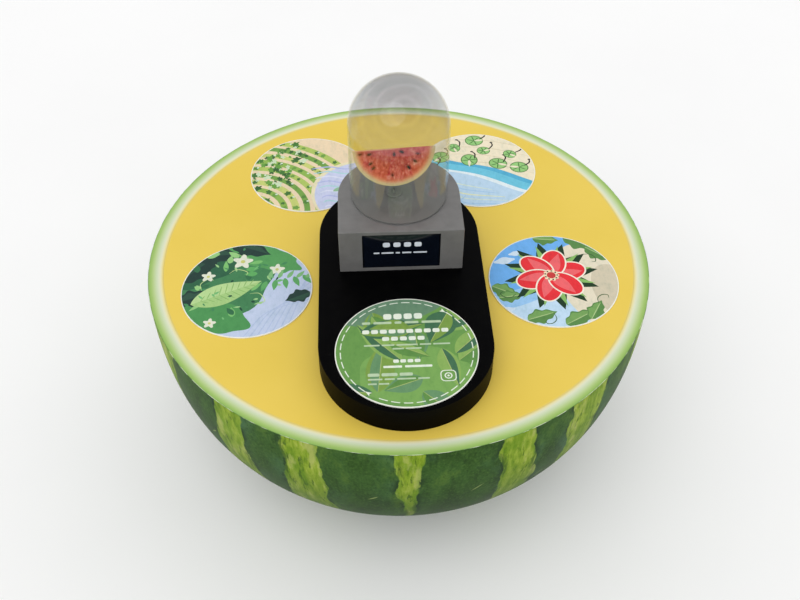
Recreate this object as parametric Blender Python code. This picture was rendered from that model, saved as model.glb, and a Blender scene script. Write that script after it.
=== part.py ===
"""Display table shaped like a halved melon, with a melon wedge under a clear dome.

Units are metres and +Z is up. The origin is on the floor under the middle of the round
foot. The front of the table, with the screen and the info disc, faces -Y.
"""

import math

import bmesh
import bpy
from mathutils import Matrix, Vector

# The whole table
TABLE_RADIUS = 0.750
TABLE_HEIGHT = 0.720
GAP = 0.0003

# The melon body: a superellipse turned about the table's axis, cut flat at the foot
MELON_DEPTH = 0.716
MELON_POWER = 2.5
SHELL_WALL = 0.008
LIP_INNER_RADIUS = 0.672
RIM_INNER_RADIUS = 0.705
TOP_THICKNESS = 0.020
EDGE_ROUND = 0.002

# The foot and what stands on it
FOOT_RADIUS = 0.300
FOOT_HEIGHT = 0.045
COLUMN_RADIUS = 0.045
COLUMN_WALL = 0.004
FLANGE_RADIUS = 0.110
FLANGE_THICKNESS = 0.006
CROSS_LENGTH = 1.320
CROSS_WIDTH = 0.040
CROSS_HEIGHT = 0.025
CABLE_HOLE_RADIUS = 0.030

# Five round panels of one size, at equal steps round the table's axis
DISC_RADIUS = 0.191
DISC_THICKNESS = 0.003
DISC_PITCH_RADIUS = 0.473
DISC_STEP = 72.0
FRONT_ANGLE = -90.0
SENSOR_RADIUS = 0.045
SENSOR_THICKNESS = 0.012

# The black plinth: a box with two round ends, from the axis to the front edge
PLINTH_END_RADIUS = 0.2355
PLINTH_FRONT_Y = -0.441
PLINTH_HEIGHT = 0.079
PLINTH_WALL = 0.006

# The grey housing: flat in front, a half circle at the back
HOUSING_RADIUS = 0.175
HOUSING_FRONT_Y = -0.164
HOUSING_HEIGHT = 0.148
HOUSING_WALL = 0.005

# The wide screen in the housing's front
SCREEN_WIDTH = 0.219
SCREEN_HEIGHT = 0.123
SCREEN_BELOW_TOP = 0.012
WINDOW_MARGIN = 0.0005
MODULE_WIDTH = 0.236
MODULE_HEIGHT = 0.135
MODULE_THICKNESS = 0.012

# Boxes inside: width, depth, height
CONTROLLER_SIZE = (0.150, 0.110, 0.030)
POWER_SUPPLY_SIZE = (0.160, 0.100, 0.040)
POWER_SUPPLY_Y = -0.330

# The socket at the back of the foot
INLET_WIDTH = 0.030
INLET_HEIGHT = 0.024
INLET_LENGTH = 0.036
SOCKET_WIDTH = 0.022
SOCKET_HEIGHT = 0.015
SOCKET_DEPTH = 0.020
PIN_WIDTH = 0.0020
PIN_HEIGHT = 0.0050
PIN_LENGTH = 0.010
PIN_SPREAD = 0.0065

# The clear dome and its floor
DOME_RADIUS = 0.140
DOME_WALL = 0.0035
DOME_TUBE_HEIGHT = 0.238
DOME_FLOOR_RADIUS = 0.1355
DOME_FLOOR_THICKNESS = 0.004

# The melon wedge: a slice of a ball, straight ridge up and rind down
WEDGE_RADIUS = 0.115
WEDGE_ANGLE = 26.0
WEDGE_RIDGE_HEIGHT = 1.108
WEDGE_X = -0.0137
WEDGE_TURN = 3.6
SEED_LENGTH = 0.0115
SEED_WIDTH = 0.0070
SEED_PROUD = 0.0012
SOCKET_IN_WEDGE = 0.020

# Seeds on the front face: distance along the ridge, and down from it
FRONT_SEEDS = [
    (-0.094, 0.012),
    (-0.069, 0.014),
    (-0.066, 0.042),
    (-0.059, 0.056),
    (-0.006, 0.080),
    (0.000, 0.018),
    (0.021, 0.012),
    (0.040, 0.060),
    (0.058, 0.042),
    (0.066, 0.020),
]
BACK_SEED_COUNT = 9
BACK_SEED_RING = 0.66

# The clear stand under the wedge
STAND_FOOT_RADIUS = 0.022
STAND_FOOT_THICKNESS = 0.003
STAND_ROD_RADIUS = 0.004

# Heights worked out from the sizes above
TOP_UNDERSIDE = TABLE_HEIGHT - TOP_THICKNESS
PLINTH_TOP = TABLE_HEIGHT + PLINTH_HEIGHT
HOUSING_TOP = PLINTH_TOP + HOUSING_HEIGHT
SCREEN_CENTRE_Z = HOUSING_TOP - SCREEN_BELOW_TOP - SCREEN_HEIGHT / 2
DOME_FLOOR_TOP = HOUSING_TOP + GAP + DOME_FLOOR_THICKNESS
WEDGE_BOTTOM = WEDGE_RIDGE_HEIGHT - WEDGE_RADIUS

# Facets round a full turn
BODY_STEPS = 64
DISC_STEPS = 48
SMALL_STEPS = 24


def clear_scene():
    for obj in list(bpy.data.objects):
        bpy.data.objects.remove(obj, do_unlink=True)


def make_material(name, colour, roughness, metallic=0.0, alpha=1.0):
    material = bpy.data.materials.new(name)
    material.use_nodes = True
    shader = material.node_tree.nodes["Principled BSDF"]
    shader.inputs["Base Color"].default_value = (*colour, 1.0)
    shader.inputs["Roughness"].default_value = roughness
    shader.inputs["Metallic"].default_value = metallic
    shader.inputs["Alpha"].default_value = alpha
    return material


def make_object(name, bm, material, location=(0, 0, 0)):
    """Turns a bmesh into a named object, shaded smooth except at its edges."""
    bmesh.ops.recalc_face_normals(bm, faces=bm.faces[:])
    mesh = bpy.data.meshes.new(name)
    bm.to_mesh(mesh)
    bm.free()
    mesh.shade_smooth()
    mesh.set_sharp_from_angle(angle=math.radians(35))
    obj = bpy.data.objects.new(name, mesh)
    obj.location = location
    if material:
        mesh.materials.append(material)
    bpy.context.scene.collection.objects.link(obj)
    return obj


def turned(name, profile, material, steps, location=(0, 0, 0)):
    """Turns a profile of (radius, height) points about the Z axis.

    A profile that starts and ends on the axis is left open there. Any other is closed.
    """
    bm = bmesh.new()
    verts = [bm.verts.new((radius, 0, height)) for radius, height in profile]
    edges = [bm.edges.new(pair) for pair in zip(verts, verts[1:])]
    on_axis = profile[0][0] == 0 and profile[-1][0] == 0
    if not on_axis:
        edges.append(bm.edges.new((verts[-1], verts[0])))
    bmesh.ops.spin(
        bm,
        geom=verts + edges,
        cent=(0, 0, 0),
        axis=(0, 0, 1),
        angle=math.tau,
        steps=steps,
        use_merge=True,
    )
    bmesh.ops.remove_doubles(bm, verts=bm.verts[:], dist=1e-6)
    return make_object(name, bm, material, location)


def prism(name, outline, bottom, top, material):
    """Raises a flat outline of (x, y) points into a solid."""
    bm = bmesh.new()
    face = bm.faces.new([bm.verts.new((x, y, bottom)) for x, y in outline])
    raised = bmesh.ops.extrude_face_region(bm, geom=[face])["geom"]
    verts = [item for item in raised if isinstance(item, bmesh.types.BMVert)]
    bmesh.ops.translate(bm, verts=verts, vec=(0, 0, top - bottom))
    return make_object(name, bm, material)


def box(name, size, centre, material=None):
    bm = bmesh.new()
    bmesh.ops.create_cube(bm, size=1.0)
    bmesh.ops.scale(bm, vec=size, verts=bm.verts[:])
    return make_object(name, bm, material, centre)


def round_edges(obj, width, segments=2, angle=50):
    bevel = obj.modifiers.new("round_edges", "BEVEL")
    bevel.width = width
    bevel.segments = segments
    bevel.limit_method = "ANGLE"
    bevel.angle_limit = math.radians(angle)


def combine(obj, other, operation):
    """Cuts another object out of obj, or joins it on, and leaves the other out."""
    boolean = obj.modifiers.new(other.name, "BOOLEAN")
    boolean.operation = operation
    boolean.object = other
    boolean.solver = "EXACT"
    other.hide_render = True
    other.display_type = "WIRE"


def melon_point(turn):
    """Gives (radius, height) on the melon's outside, from the rim at 0 down to the pole at 90."""
    share = 2 / MELON_POWER
    radius = TABLE_RADIUS * math.cos(turn) ** share
    depth = MELON_DEPTH * math.sin(turn) ** share
    return radius, TABLE_HEIGHT - depth


def melon_turn(height, depth=MELON_DEPTH):
    """Gives the turn at which the melon's outside reaches a height."""
    return math.asin(((TABLE_HEIGHT - height) / depth) ** (MELON_POWER / 2))


def inner_point(turn):
    """Gives (radius, height) on the shell's inside, one wall in from the outside."""
    share = 2 / MELON_POWER
    radius = (TABLE_RADIUS - SHELL_WALL) * math.cos(turn) ** share
    depth = (MELON_DEPTH - SHELL_WALL) * math.sin(turn) ** share
    return radius, TABLE_HEIGHT - depth


def steps_between(first, last, count):
    return [first + (last - first) * i / count for i in range(count + 1)]


def make_foot():
    painted_wood = make_material("foot_paint", (0.02, 0.02, 0.022), 0.55)
    bevel = 0.003
    top = FOOT_HEIGHT - GAP
    profile = [
        (0, 0),
        (FOOT_RADIUS - bevel, 0),
        (FOOT_RADIUS, bevel),
        (FOOT_RADIUS, top - bevel),
        (FOOT_RADIUS - bevel, top),
        (0, top),
    ]
    foot = turned("foot_disc", profile, painted_wood, BODY_STEPS)
    pocket_length = INLET_LENGTH + 0.010
    pocket = box(
        "inlet_pocket",
        (INLET_WIDTH + 2 * GAP, 2 * pocket_length, INLET_HEIGHT + 2 * GAP),
        (0, FOOT_RADIUS, FOOT_HEIGHT / 2),
    )
    combine(foot, pocket, "DIFFERENCE")


def make_inlet():
    plastic = make_material("inlet_plastic", (0.03, 0.03, 0.03), 0.4)
    front_y = FOOT_RADIUS
    middle = FOOT_HEIGHT / 2
    body = box(
        "power_inlet",
        (INLET_WIDTH, INLET_LENGTH, INLET_HEIGHT),
        (0, front_y - INLET_LENGTH / 2, middle),
        plastic,
    )
    socket = box(
        "inlet_socket",
        (SOCKET_WIDTH, 2 * SOCKET_DEPTH, SOCKET_HEIGHT),
        (0, front_y, middle),
    )
    combine(body, socket, "DIFFERENCE")
    sunk = 0.003
    for index, side in enumerate((-1, 0, 1)):
        pin = box(
            f"inlet_pin_{index + 1}",
            (PIN_WIDTH, PIN_LENGTH + sunk, PIN_HEIGHT),
            (side * PIN_SPREAD, front_y - SOCKET_DEPTH + (PIN_LENGTH - sunk) / 2, middle),
        )
        combine(body, pin, "UNION")


def make_shell():
    """The melon body: a bowl with a flat bottom, and a lip turned in under the top."""
    rind = make_material("rind", (0.06, 0.16, 0.04), 0.45)
    lip_top = TOP_UNDERSIDE - GAP
    lip_bottom = lip_top - SHELL_WALL
    floor_top = FOOT_HEIGHT + SHELL_WALL
    inner_depth = MELON_DEPTH - SHELL_WALL
    outer = steps_between(melon_turn(FOOT_HEIGHT), melon_turn(lip_top), 14)
    inner = steps_between(melon_turn(lip_bottom, inner_depth), melon_turn(floor_top, inner_depth), 9)
    profile = [(0, FOOT_HEIGHT)]
    profile += [melon_point(turn) for turn in outer]
    profile += [(LIP_INNER_RADIUS, lip_top), (LIP_INNER_RADIUS, lip_bottom)]
    profile += [inner_point(turn) for turn in inner]
    profile += [(0, floor_top)]
    turned("rind_shell", profile, rind, BODY_STEPS)


def make_rim():
    pale = make_material("rim_paint", (0.60, 0.78, 0.45), 0.4)
    outer_bottom = melon_point(melon_turn(TOP_UNDERSIDE))[0]
    profile = [
        (RIM_INNER_RADIUS, TOP_UNDERSIDE),
        (outer_bottom, TOP_UNDERSIDE),
        (TABLE_RADIUS, TABLE_HEIGHT - EDGE_ROUND),
        (TABLE_RADIUS - EDGE_ROUND, TABLE_HEIGHT),
        (RIM_INNER_RADIUS, TABLE_HEIGHT),
    ]
    turned("rim_ring", profile, pale, BODY_STEPS)


def make_table_top():
    yellow = make_material("table_top_paint", (0.80, 0.59, 0.11), 0.35)
    outer = RIM_INNER_RADIUS - GAP
    profile = [
        (CABLE_HOLE_RADIUS, TOP_UNDERSIDE),
        (outer, TOP_UNDERSIDE),
        (outer, TABLE_HEIGHT),
        (CABLE_HOLE_RADIUS, TABLE_HEIGHT),
    ]
    turned("table_top", profile, yellow, BODY_STEPS)


def make_supports():
    """The hollow post on the bowl's flat bottom, and the two crossed bars on top of it."""
    steel = make_material("support_steel", (0.35, 0.36, 0.38), 0.4, 1.0)
    foot = FOOT_HEIGHT + SHELL_WALL + GAP
    cross_top = TOP_UNDERSIDE - GAP
    head = cross_top - CROSS_HEIGHT - GAP
    bore = COLUMN_RADIUS - COLUMN_WALL
    profile = [
        (bore, foot),
        (FLANGE_RADIUS, foot),
        (FLANGE_RADIUS, foot + FLANGE_THICKNESS),
        (COLUMN_RADIUS, foot + FLANGE_THICKNESS),
        (COLUMN_RADIUS, head - FLANGE_THICKNESS),
        (FLANGE_RADIUS, head - FLANGE_THICKNESS),
        (FLANGE_RADIUS, head),
        (bore, head),
    ]
    turned("support_column", profile, steel, SMALL_STEPS)
    middle = (0, 0, cross_top - CROSS_HEIGHT / 2)
    cross = box("support_cross", (CROSS_LENGTH, CROSS_WIDTH, CROSS_HEIGHT), middle, steel)
    other_bar = box("cross_bar", (CROSS_WIDTH, CROSS_LENGTH, CROSS_HEIGHT), middle)
    combine(cross, other_bar, "UNION")
    hub_profile = [
        (0, -CROSS_HEIGHT / 2),
        (FLANGE_RADIUS, -CROSS_HEIGHT / 2),
        (FLANGE_RADIUS, CROSS_HEIGHT / 2),
        (0, CROSS_HEIGHT / 2),
    ]
    hub = turned("cross_hub", hub_profile, None, SMALL_STEPS, middle)
    combine(cross, hub, "UNION")
    hole_profile = [(0, -0.05), (CABLE_HOLE_RADIUS, -0.05), (CABLE_HOLE_RADIUS, 0.05), (0, 0.05)]
    hole = turned("cross_cable_hole", hole_profile, None, SMALL_STEPS, middle)
    combine(cross, hole, "DIFFERENCE")


def round_panel(name, material, centre, bottom, radius, thickness, steps=DISC_STEPS):
    """A flat round panel with a small bevel round its top edge."""
    bevel = thickness / 4
    profile = [
        (0, 0),
        (radius, 0),
        (radius, thickness - bevel),
        (radius - bevel, thickness),
        (0, thickness),
    ]
    return turned(name, profile, material, steps, (*centre, bottom))


def disc_centre(step):
    """The middle of a round panel, counted in equal steps from the front one."""
    angle = math.radians(FRONT_ANGLE + DISC_STEP * step)
    return DISC_PITCH_RADIUS * math.cos(angle), DISC_PITCH_RADIUS * math.sin(angle)


def make_sensor(place, centre, panel_underside):
    """A flat round pad held against the underside of what carries the round panel."""
    plastic = make_material(f"sensor_plastic_{place}", (0.75, 0.75, 0.72), 0.5)
    bottom = panel_underside - GAP - SENSOR_THICKNESS
    name = f"touch_sensor_{place}"
    round_panel(name, plastic, centre, bottom, SENSOR_RADIUS, SENSOR_THICKNESS, SMALL_STEPS)


def make_round_panels():
    """Four pictures on the table top, the info disc on the plinth, and a sensor under each."""
    colours = {
        "right_front": (0.25, 0.45, 0.50),
        "right_back": (0.45, 0.60, 0.60),
        "left_back": (0.35, 0.45, 0.25),
        "left_front": (0.20, 0.35, 0.22),
    }
    for step, (place, colour) in enumerate(colours.items(), start=1):
        print_face = make_material(f"picture_{place}", colour, 0.3)
        centre = disc_centre(step)
        name = f"picture_disc_{place}"
        round_panel(name, print_face, centre, TABLE_HEIGHT + GAP, DISC_RADIUS, DISC_THICKNESS)
        make_sensor(place, centre, TOP_UNDERSIDE)
    info_face = make_material("info_face", (0.22, 0.42, 0.16), 0.3)
    centre = disc_centre(0)
    round_panel("info_disc", info_face, centre, PLINTH_TOP + GAP, DISC_RADIUS, DISC_THICKNESS)
    make_sensor("info", centre, PLINTH_TOP - PLINTH_WALL)


def arc(centre_y, radius, first, last, count):
    turns = [math.radians(degrees) for degrees in steps_between(first, last, count)]
    return [(radius * math.cos(turn), centre_y + radius * math.sin(turn)) for turn in turns]


def plinth_outline(inset):
    radius = PLINTH_END_RADIUS - inset
    return arc(0, radius, 0, 180, 22) + arc(PLINTH_FRONT_Y, radius, 180, 360, 22)


def housing_outline(inset):
    radius = HOUSING_RADIUS - inset
    front = HOUSING_FRONT_Y + inset
    return arc(0, radius, 0, 180, 20) + [(-radius, front), (radius, front)]


def make_plinth():
    """A black cover, open below, with a hole in its top for the cables."""
    black = make_material("plinth_paint", (0.008, 0.008, 0.010), 0.35)
    bottom = TABLE_HEIGHT + GAP
    plinth = prism("plinth", plinth_outline(0), bottom, PLINTH_TOP, black)
    round_edges(plinth, EDGE_ROUND)
    hollow_top = PLINTH_TOP - PLINTH_WALL
    hollow = prism("plinth_hollow", plinth_outline(PLINTH_WALL), bottom - 0.02, hollow_top, None)
    combine(plinth, hollow, "DIFFERENCE")
    hole_profile = [(0, -0.02), (CABLE_HOLE_RADIUS, -0.02), (CABLE_HOLE_RADIUS, 0.02), (0, 0.02)]
    hole_centre = (0, HOUSING_RADIUS / 2, PLINTH_TOP)
    hole = turned("plinth_cable_hole", hole_profile, None, SMALL_STEPS, hole_centre)
    combine(plinth, hole, "DIFFERENCE")


def make_housing():
    """A grey cover, open below, with a window in its flat front."""
    grey = make_material("housing_paint", (0.16, 0.15, 0.15), 0.4)
    bottom = PLINTH_TOP + GAP
    housing = prism("housing", housing_outline(0), bottom, HOUSING_TOP, grey)
    round_edges(housing, EDGE_ROUND)
    hollow_top = HOUSING_TOP - HOUSING_WALL
    hollow = prism("housing_hollow", housing_outline(HOUSING_WALL), bottom - 0.02, hollow_top, None)
    combine(housing, hollow, "DIFFERENCE")
    window = box(
        "housing_window",
        (SCREEN_WIDTH + 2 * WINDOW_MARGIN, 4 * HOUSING_WALL, SCREEN_HEIGHT + 2 * WINDOW_MARGIN),
        (0, HOUSING_FRONT_Y, SCREEN_CENTRE_Z),
    )
    combine(housing, window, "DIFFERENCE")


def make_screen():
    """The glass fills the window, and the panel behind it presses on the wall's inside."""
    dark_glass = make_material("screen_glass", (0.01, 0.012, 0.016), 0.08)
    metal = make_material("display_metal", (0.5, 0.5, 0.52), 0.35, 1.0)
    glass = box(
        "screen_glass",
        (SCREEN_WIDTH, HOUSING_WALL, SCREEN_HEIGHT),
        (0, HOUSING_FRONT_Y + HOUSING_WALL / 2, SCREEN_CENTRE_Z),
        dark_glass,
    )
    round_edges(glass, 0.0006, segments=1)
    box(
        "display_module",
        (MODULE_WIDTH, MODULE_THICKNESS, MODULE_HEIGHT),
        (0, HOUSING_FRONT_Y + HOUSING_WALL + GAP + MODULE_THICKNESS / 2, SCREEN_CENTRE_Z),
        metal,
    )


def make_inner_boxes():
    case = make_material("controller_case", (0.08, 0.08, 0.09), 0.5)
    supply = make_material("power_supply_case", (0.55, 0.55, 0.55), 0.35, 1.0)
    controller = box(
        "controller_box",
        CONTROLLER_SIZE,
        (0, -0.02, PLINTH_TOP + GAP + CONTROLLER_SIZE[2] / 2),
        case,
    )
    round_edges(controller, 0.003)
    power = box(
        "power_supply",
        POWER_SUPPLY_SIZE,
        (0, POWER_SUPPLY_Y, TABLE_HEIGHT + GAP + POWER_SUPPLY_SIZE[2] / 2),
        supply,
    )
    round_edges(power, 0.003)


def make_dome():
    """The clear bell: a straight tube that ends in a half ball, open below."""
    clear = make_material("dome_acrylic", (0.80, 0.80, 0.80), 0.05, alpha=0.3)
    foot = HOUSING_TOP + GAP
    shoulder = HOUSING_TOP + DOME_TUBE_HEIGHT
    inner_radius = DOME_RADIUS - DOME_WALL
    turns = [math.radians(degrees) for degrees in steps_between(0, 90, 9)]
    outside = [(DOME_RADIUS * math.cos(t), shoulder + DOME_RADIUS * math.sin(t)) for t in turns[:-1]]
    inside = [(inner_radius * math.cos(t), shoulder + inner_radius * math.sin(t)) for t in turns[:-1]]
    profile = [(0, shoulder + inner_radius)]
    profile += inside[::-1]
    profile += [(inner_radius, foot), (DOME_RADIUS, foot)]
    profile += outside
    profile += [(0, shoulder + DOME_RADIUS)]
    turned("dome", profile, clear, 48)


def make_dome_floor():
    grey = make_material("dome_floor_paint", (0.12, 0.12, 0.12), 0.5)
    bottom = HOUSING_TOP + GAP
    round_panel("dome_floor", grey, (0, 0), bottom, DOME_FLOOR_RADIUS, DOME_FLOOR_THICKNESS)


def make_stand():
    """A round foot with a slim rod, which ends in a blind hole in the wedge."""
    clear = make_material("stand_acrylic", (0.85, 0.87, 0.88), 0.05, alpha=0.4)
    base = DOME_FLOOR_TOP + GAP
    rod_top = WEDGE_BOTTOM + SOCKET_IN_WEDGE - GAP
    profile = [
        (0, base),
        (STAND_FOOT_RADIUS, base),
        (STAND_FOOT_RADIUS, base + STAND_FOOT_THICKNESS),
        (STAND_ROD_RADIUS, base + STAND_FOOT_THICKNESS),
        (STAND_ROD_RADIUS, rod_top),
        (0, rod_top),
    ]
    turned("wedge_stand", profile, clear, 24, (WEDGE_X, 0, 0))


def wedge_body():
    """A slice of a ball: its ridge lies along X, and its rind faces down."""
    half = math.radians(WEDGE_ANGLE / 2)
    along_steps = 24
    across_steps = 6
    bm = bmesh.new()
    rows = []
    for i in range(1, along_steps):
        along = math.pi * i / along_steps
        row = []
        for j in range(across_steps + 1):
            lean = half * (2 * j / across_steps - 1)
            reach = WEDGE_RADIUS * math.sin(along)
            point = (
                -WEDGE_RADIUS * math.cos(along),
                reach * math.sin(lean),
                -reach * math.cos(lean),
            )
            row.append(bm.verts.new(point))
        rows.append(row)
    left = bm.verts.new((-WEDGE_RADIUS, 0, 0))
    right = bm.verts.new((WEDGE_RADIUS, 0, 0))
    for one, two in zip(rows, rows[1:]):
        for j in range(across_steps):
            bm.faces.new((one[j], one[j + 1], two[j + 1], two[j]))
    for j in range(across_steps):
        bm.faces.new((left, rows[0][j + 1], rows[0][j]))
        bm.faces.new((right, rows[-1][j], rows[-1][j + 1]))
    for j in (0, across_steps):
        bm.faces.new([left] + [row[j] for row in rows] + [right])
    return bm


def add_seed(bm, along, down, side):
    """Adds a seed's ball, flattened and sunk into one cut face, pointing at the ridge."""
    lean = math.radians(WEDGE_ANGLE / 2) * side
    down_face = Vector((0, math.sin(lean), -math.cos(lean)))
    ridge = Vector((1, 0, 0))
    outward = ridge.cross(down_face) * -side
    point_at_core = (ridge * along + down_face * down).normalized()
    across = outward.cross(point_at_core)
    turn = Matrix((across, point_at_core, outward)).transposed().to_4x4()
    size = Matrix.Diagonal((SEED_WIDTH, SEED_LENGTH, 4 * SEED_PROUD, 1))
    sunk = ridge * along + down_face * down - outward * SEED_PROUD
    bmesh.ops.create_icosphere(
        bm,
        subdivisions=2,
        radius=0.5,
        matrix=Matrix.Translation(sunk) @ turn @ size,
    )


def seed_places():
    """Seeds of the front face from the list, and of the back face on a half ring."""
    places = [(along, down, -1) for along, down in FRONT_SEEDS]
    for index in range(BACK_SEED_COUNT):
        turn = math.pi * (index + 0.7) / (BACK_SEED_COUNT + 0.4)
        ring = WEDGE_RADIUS * (BACK_SEED_RING + 0.10 * math.sin(2.4 * index))
        places.append((ring * math.cos(turn), ring * math.sin(turn), 1))
    return places


def make_wedge():
    flesh = make_material("melon_flesh", (0.62, 0.06, 0.03), 0.3)
    place = Matrix.Translation((WEDGE_X, 0, WEDGE_RIDGE_HEIGHT))
    place = place @ Matrix.Rotation(math.radians(WEDGE_TURN), 4, "Z")
    wedge = make_object("melon_wedge", wedge_body(), flesh)
    wedge.matrix_world = place
    bm = bmesh.new()
    for along, down, side in seed_places():
        add_seed(bm, along, down, side)
    seeds = make_object("melon_seeds", bm, None)
    seeds.matrix_world = place
    combine(wedge, seeds, "UNION")
    hole_radius = STAND_ROD_RADIUS + GAP
    hole_profile = [
        (0, -SOCKET_IN_WEDGE),
        (hole_radius, -SOCKET_IN_WEDGE),
        (hole_radius, SOCKET_IN_WEDGE),
        (0, SOCKET_IN_WEDGE),
    ]
    hole = turned("wedge_hole", hole_profile, None, 24, (WEDGE_X, 0, WEDGE_BOTTOM))
    combine(wedge, hole, "DIFFERENCE")


def main():
    clear_scene()
    make_foot()
    make_inlet()
    make_shell()
    make_rim()
    make_table_top()
    make_supports()
    make_round_panels()
    make_plinth()
    make_housing()
    make_screen()
    make_inner_boxes()
    make_dome()
    make_dome_floor()
    make_stand()
    make_wedge()


main()
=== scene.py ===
"""Looks of the halved melon display table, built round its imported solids.

Units are metres and +Z is up. The front of the table, with its screen, faces -Y.
"""
import math
import random

import bmesh
import bpy
import numpy as np
from mathutils import Matrix, Vector, noise
from mathutils.geometry import delaunay_2d_cdt


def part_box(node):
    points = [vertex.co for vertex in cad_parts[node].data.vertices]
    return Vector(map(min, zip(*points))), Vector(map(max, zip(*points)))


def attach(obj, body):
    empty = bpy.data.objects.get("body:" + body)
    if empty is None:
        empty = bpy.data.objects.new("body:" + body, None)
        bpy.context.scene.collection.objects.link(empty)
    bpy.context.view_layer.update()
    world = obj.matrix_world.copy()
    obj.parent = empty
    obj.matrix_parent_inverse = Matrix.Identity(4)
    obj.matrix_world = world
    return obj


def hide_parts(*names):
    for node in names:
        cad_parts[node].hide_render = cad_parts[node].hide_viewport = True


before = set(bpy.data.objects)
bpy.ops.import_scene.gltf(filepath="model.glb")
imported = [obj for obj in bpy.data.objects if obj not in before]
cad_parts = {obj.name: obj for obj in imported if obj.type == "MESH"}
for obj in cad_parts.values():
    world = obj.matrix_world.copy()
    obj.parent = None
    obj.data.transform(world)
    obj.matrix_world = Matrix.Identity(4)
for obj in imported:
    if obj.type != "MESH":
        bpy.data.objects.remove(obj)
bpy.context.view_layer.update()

# The photograph's camera: its place, how it is turned, and its lens on a 36 mm wide sensor
CAMERA_PLACE = (-0.102, -2.2043, 2.78295)
CAMERA_HEADING = -2.762
CAMERA_TILT = 44.111
CAMERA_ROLL = 0.166
CAMERA_LENS = 44.7165

# Light
SKY_STRENGTH = 0.86
SUN_STRENGTH = 0.62
SUN_SPREAD = 55
SUN_TILT = 28
SUN_ROLL = -16
FLOOR_RADIUS = 14.0


def low(node):
    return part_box(node)[0]


def high(node):
    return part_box(node)[1]


def middle(node):
    return (low(node) + high(node)) / 2


# The table's sizes, from the solids
TABLE_RADIUS = high("rim_ring").x
TABLE_TOP = high("rim_ring").z
RIND_BOTTOM = low("rind_shell").z
LIP_TOP = high("rind_shell").z
TOP_RADIUS = high("table_top").x
TOP_BOTTOM = low("table_top").z
CABLE_HOLE_RADIUS = 0.030
GAP = 0.0003

# The melon's outline, as the solids have it
MELON_DEPTH = 0.716
MELON_POWER = 2.5
RIND_WALL = 0.008
LIP_INNER_RADIUS = 0.672
RIND_STEPS = 600
RIND_ROWS = 120
RIND_BUNCHING = 1.15
LINING_ROWS = 40
RIM_FADE = (0.690, 0.750)
SKIN_EDGE = 0.0012
BEAD = 0.0009
SEAM_ROUND = 0.0001
SKIN_GAP = 0.0002
BEVEL_IN = 0.0012
BEVEL_DOWN = 0.0010
BOARD_STEPS = 384
CHAIN_START = 0.010
CHAIN_END = 0.012

# Light stripes at the front, in degrees: both edges at the rim, then both edges lower down
FRONT_STRIPES = [
    (-164.0, -148.5, -162.0, -149.5),
    (-133.5, -126.5, -135.5, -126.0),
    (-116.2, -108.8, -117.6, -107.8),
    (-93.8, -87.8, -91.8, -88.8),
    (-71.9, -64.5, -70.5, -61.6),
    (-54.8, -43.6, -53.6, -45.4),
]
OTHER_STRIPES = 12
STRIPE_SEED = 7
STRIPE_DEPTH = 0.28

# Pale scratches: azimuth, distance below the rim, length, and slant in degrees
SCRATCHES = [
    (-98.0, 0.226, 0.046, 38),
    (-75.8, 0.210, 0.052, 42),
    (-137.0, 0.195, 0.040, 45),
    (-20.0, 0.250, 0.045, -35),
    (48.0, 0.180, 0.050, 30),
    (121.0, 0.300, 0.044, -40),
]
SCRATCH_WIDTH = 0.0065

# Round panels
DISC_BORDER = 0.0028
DISC_EDGE = 0.0007
DISC_STEPS = 192
DASHES = 34

# On a print's field, which reaches from -1 to 1: the longest run without a point, and the pads
PRINT_STEP = 0.06
PAD_PLACES = [
    (-0.62, 0.36),
    (-0.36, 0.62),
    (-0.12, 0.26),
    (0.16, 0.52),
    (0.38, 0.14),
    (0.62, 0.40),
    (0.74, 0.02),
    (-0.80, 0.10),
    (0.02, 0.82),
]

# Plinth, housing and screen
PLINTH_END_RADIUS = high("plinth").x
PLINTH_FRONT_Y = low("plinth").y + PLINTH_END_RADIUS
PLINTH_WALL = 0.006
HOUSING_RADIUS = high("housing").x
HOUSING_FRONT_Y = low("housing").y
HOUSING_WALL = 0.005
EDGE_ROUND = 0.002
CORNER_ROUND = 0.0025
WINDOW_MARGIN = 0.0005
WINDOW_DEPTH = 0.02
SCREEN_EDGE = 0.0006
SCREEN_BEZEL = 0.0035
SCREEN_UNIT = 0.100
SCREEN_SHIFT = 0.006
PANE_CORNER = 0.0012

# Dome, stand and wedge
DOME_RADIUS = high("dome").x
DOME_WALL = 0.0035
DOME_FOOT = low("dome").z
DOME_SHOULDER = high("dome").z - DOME_RADIUS
DOME_FOOT_ROUND = 0.0006
DOME_FLOOR_ROUND = 0.0008
# How much light the dome lets through, by height: the faint loss low down is the acrylic's own tint, the
# darker shares on the hemisphere and crown are painted shade
DOME_CLEARNESS_AND_SHADE = [
    (1.100, 0.985),
    (1.128, 0.980),
    (1.165, 0.894),
    (1.255, 0.888),
    (1.318, 0.735),
]
RIPPLE_CENTRE = (0.010, -0.090, 1.290)
RIPPLE_STEP = 0.042
RIPPLE_HEIGHTS = (1.150, 1.210)
STAND_ROD_RADIUS = 0.004
STAND_FOOT_THICKNESS = 0.003
STAND_ROUND = 0.0010
STAND_MATT = 0.0080
WEDGE_RADIUS = 0.115
WEDGE_ANGLE = 26.0
WEDGE_RIDGE_HEIGHT = 1.108
WEDGE_X = -0.0137
WEDGE_TURN = 3.6
SEED_LENGTH = 0.0115
SEED_WIDTH = 0.0070
SEED_PROUD = 0.0012
FLESH_GRAIN = 0.00045
FLESH_GRAINS = 260
FLESH_SMOOTH_EDGE = 0.006

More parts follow.
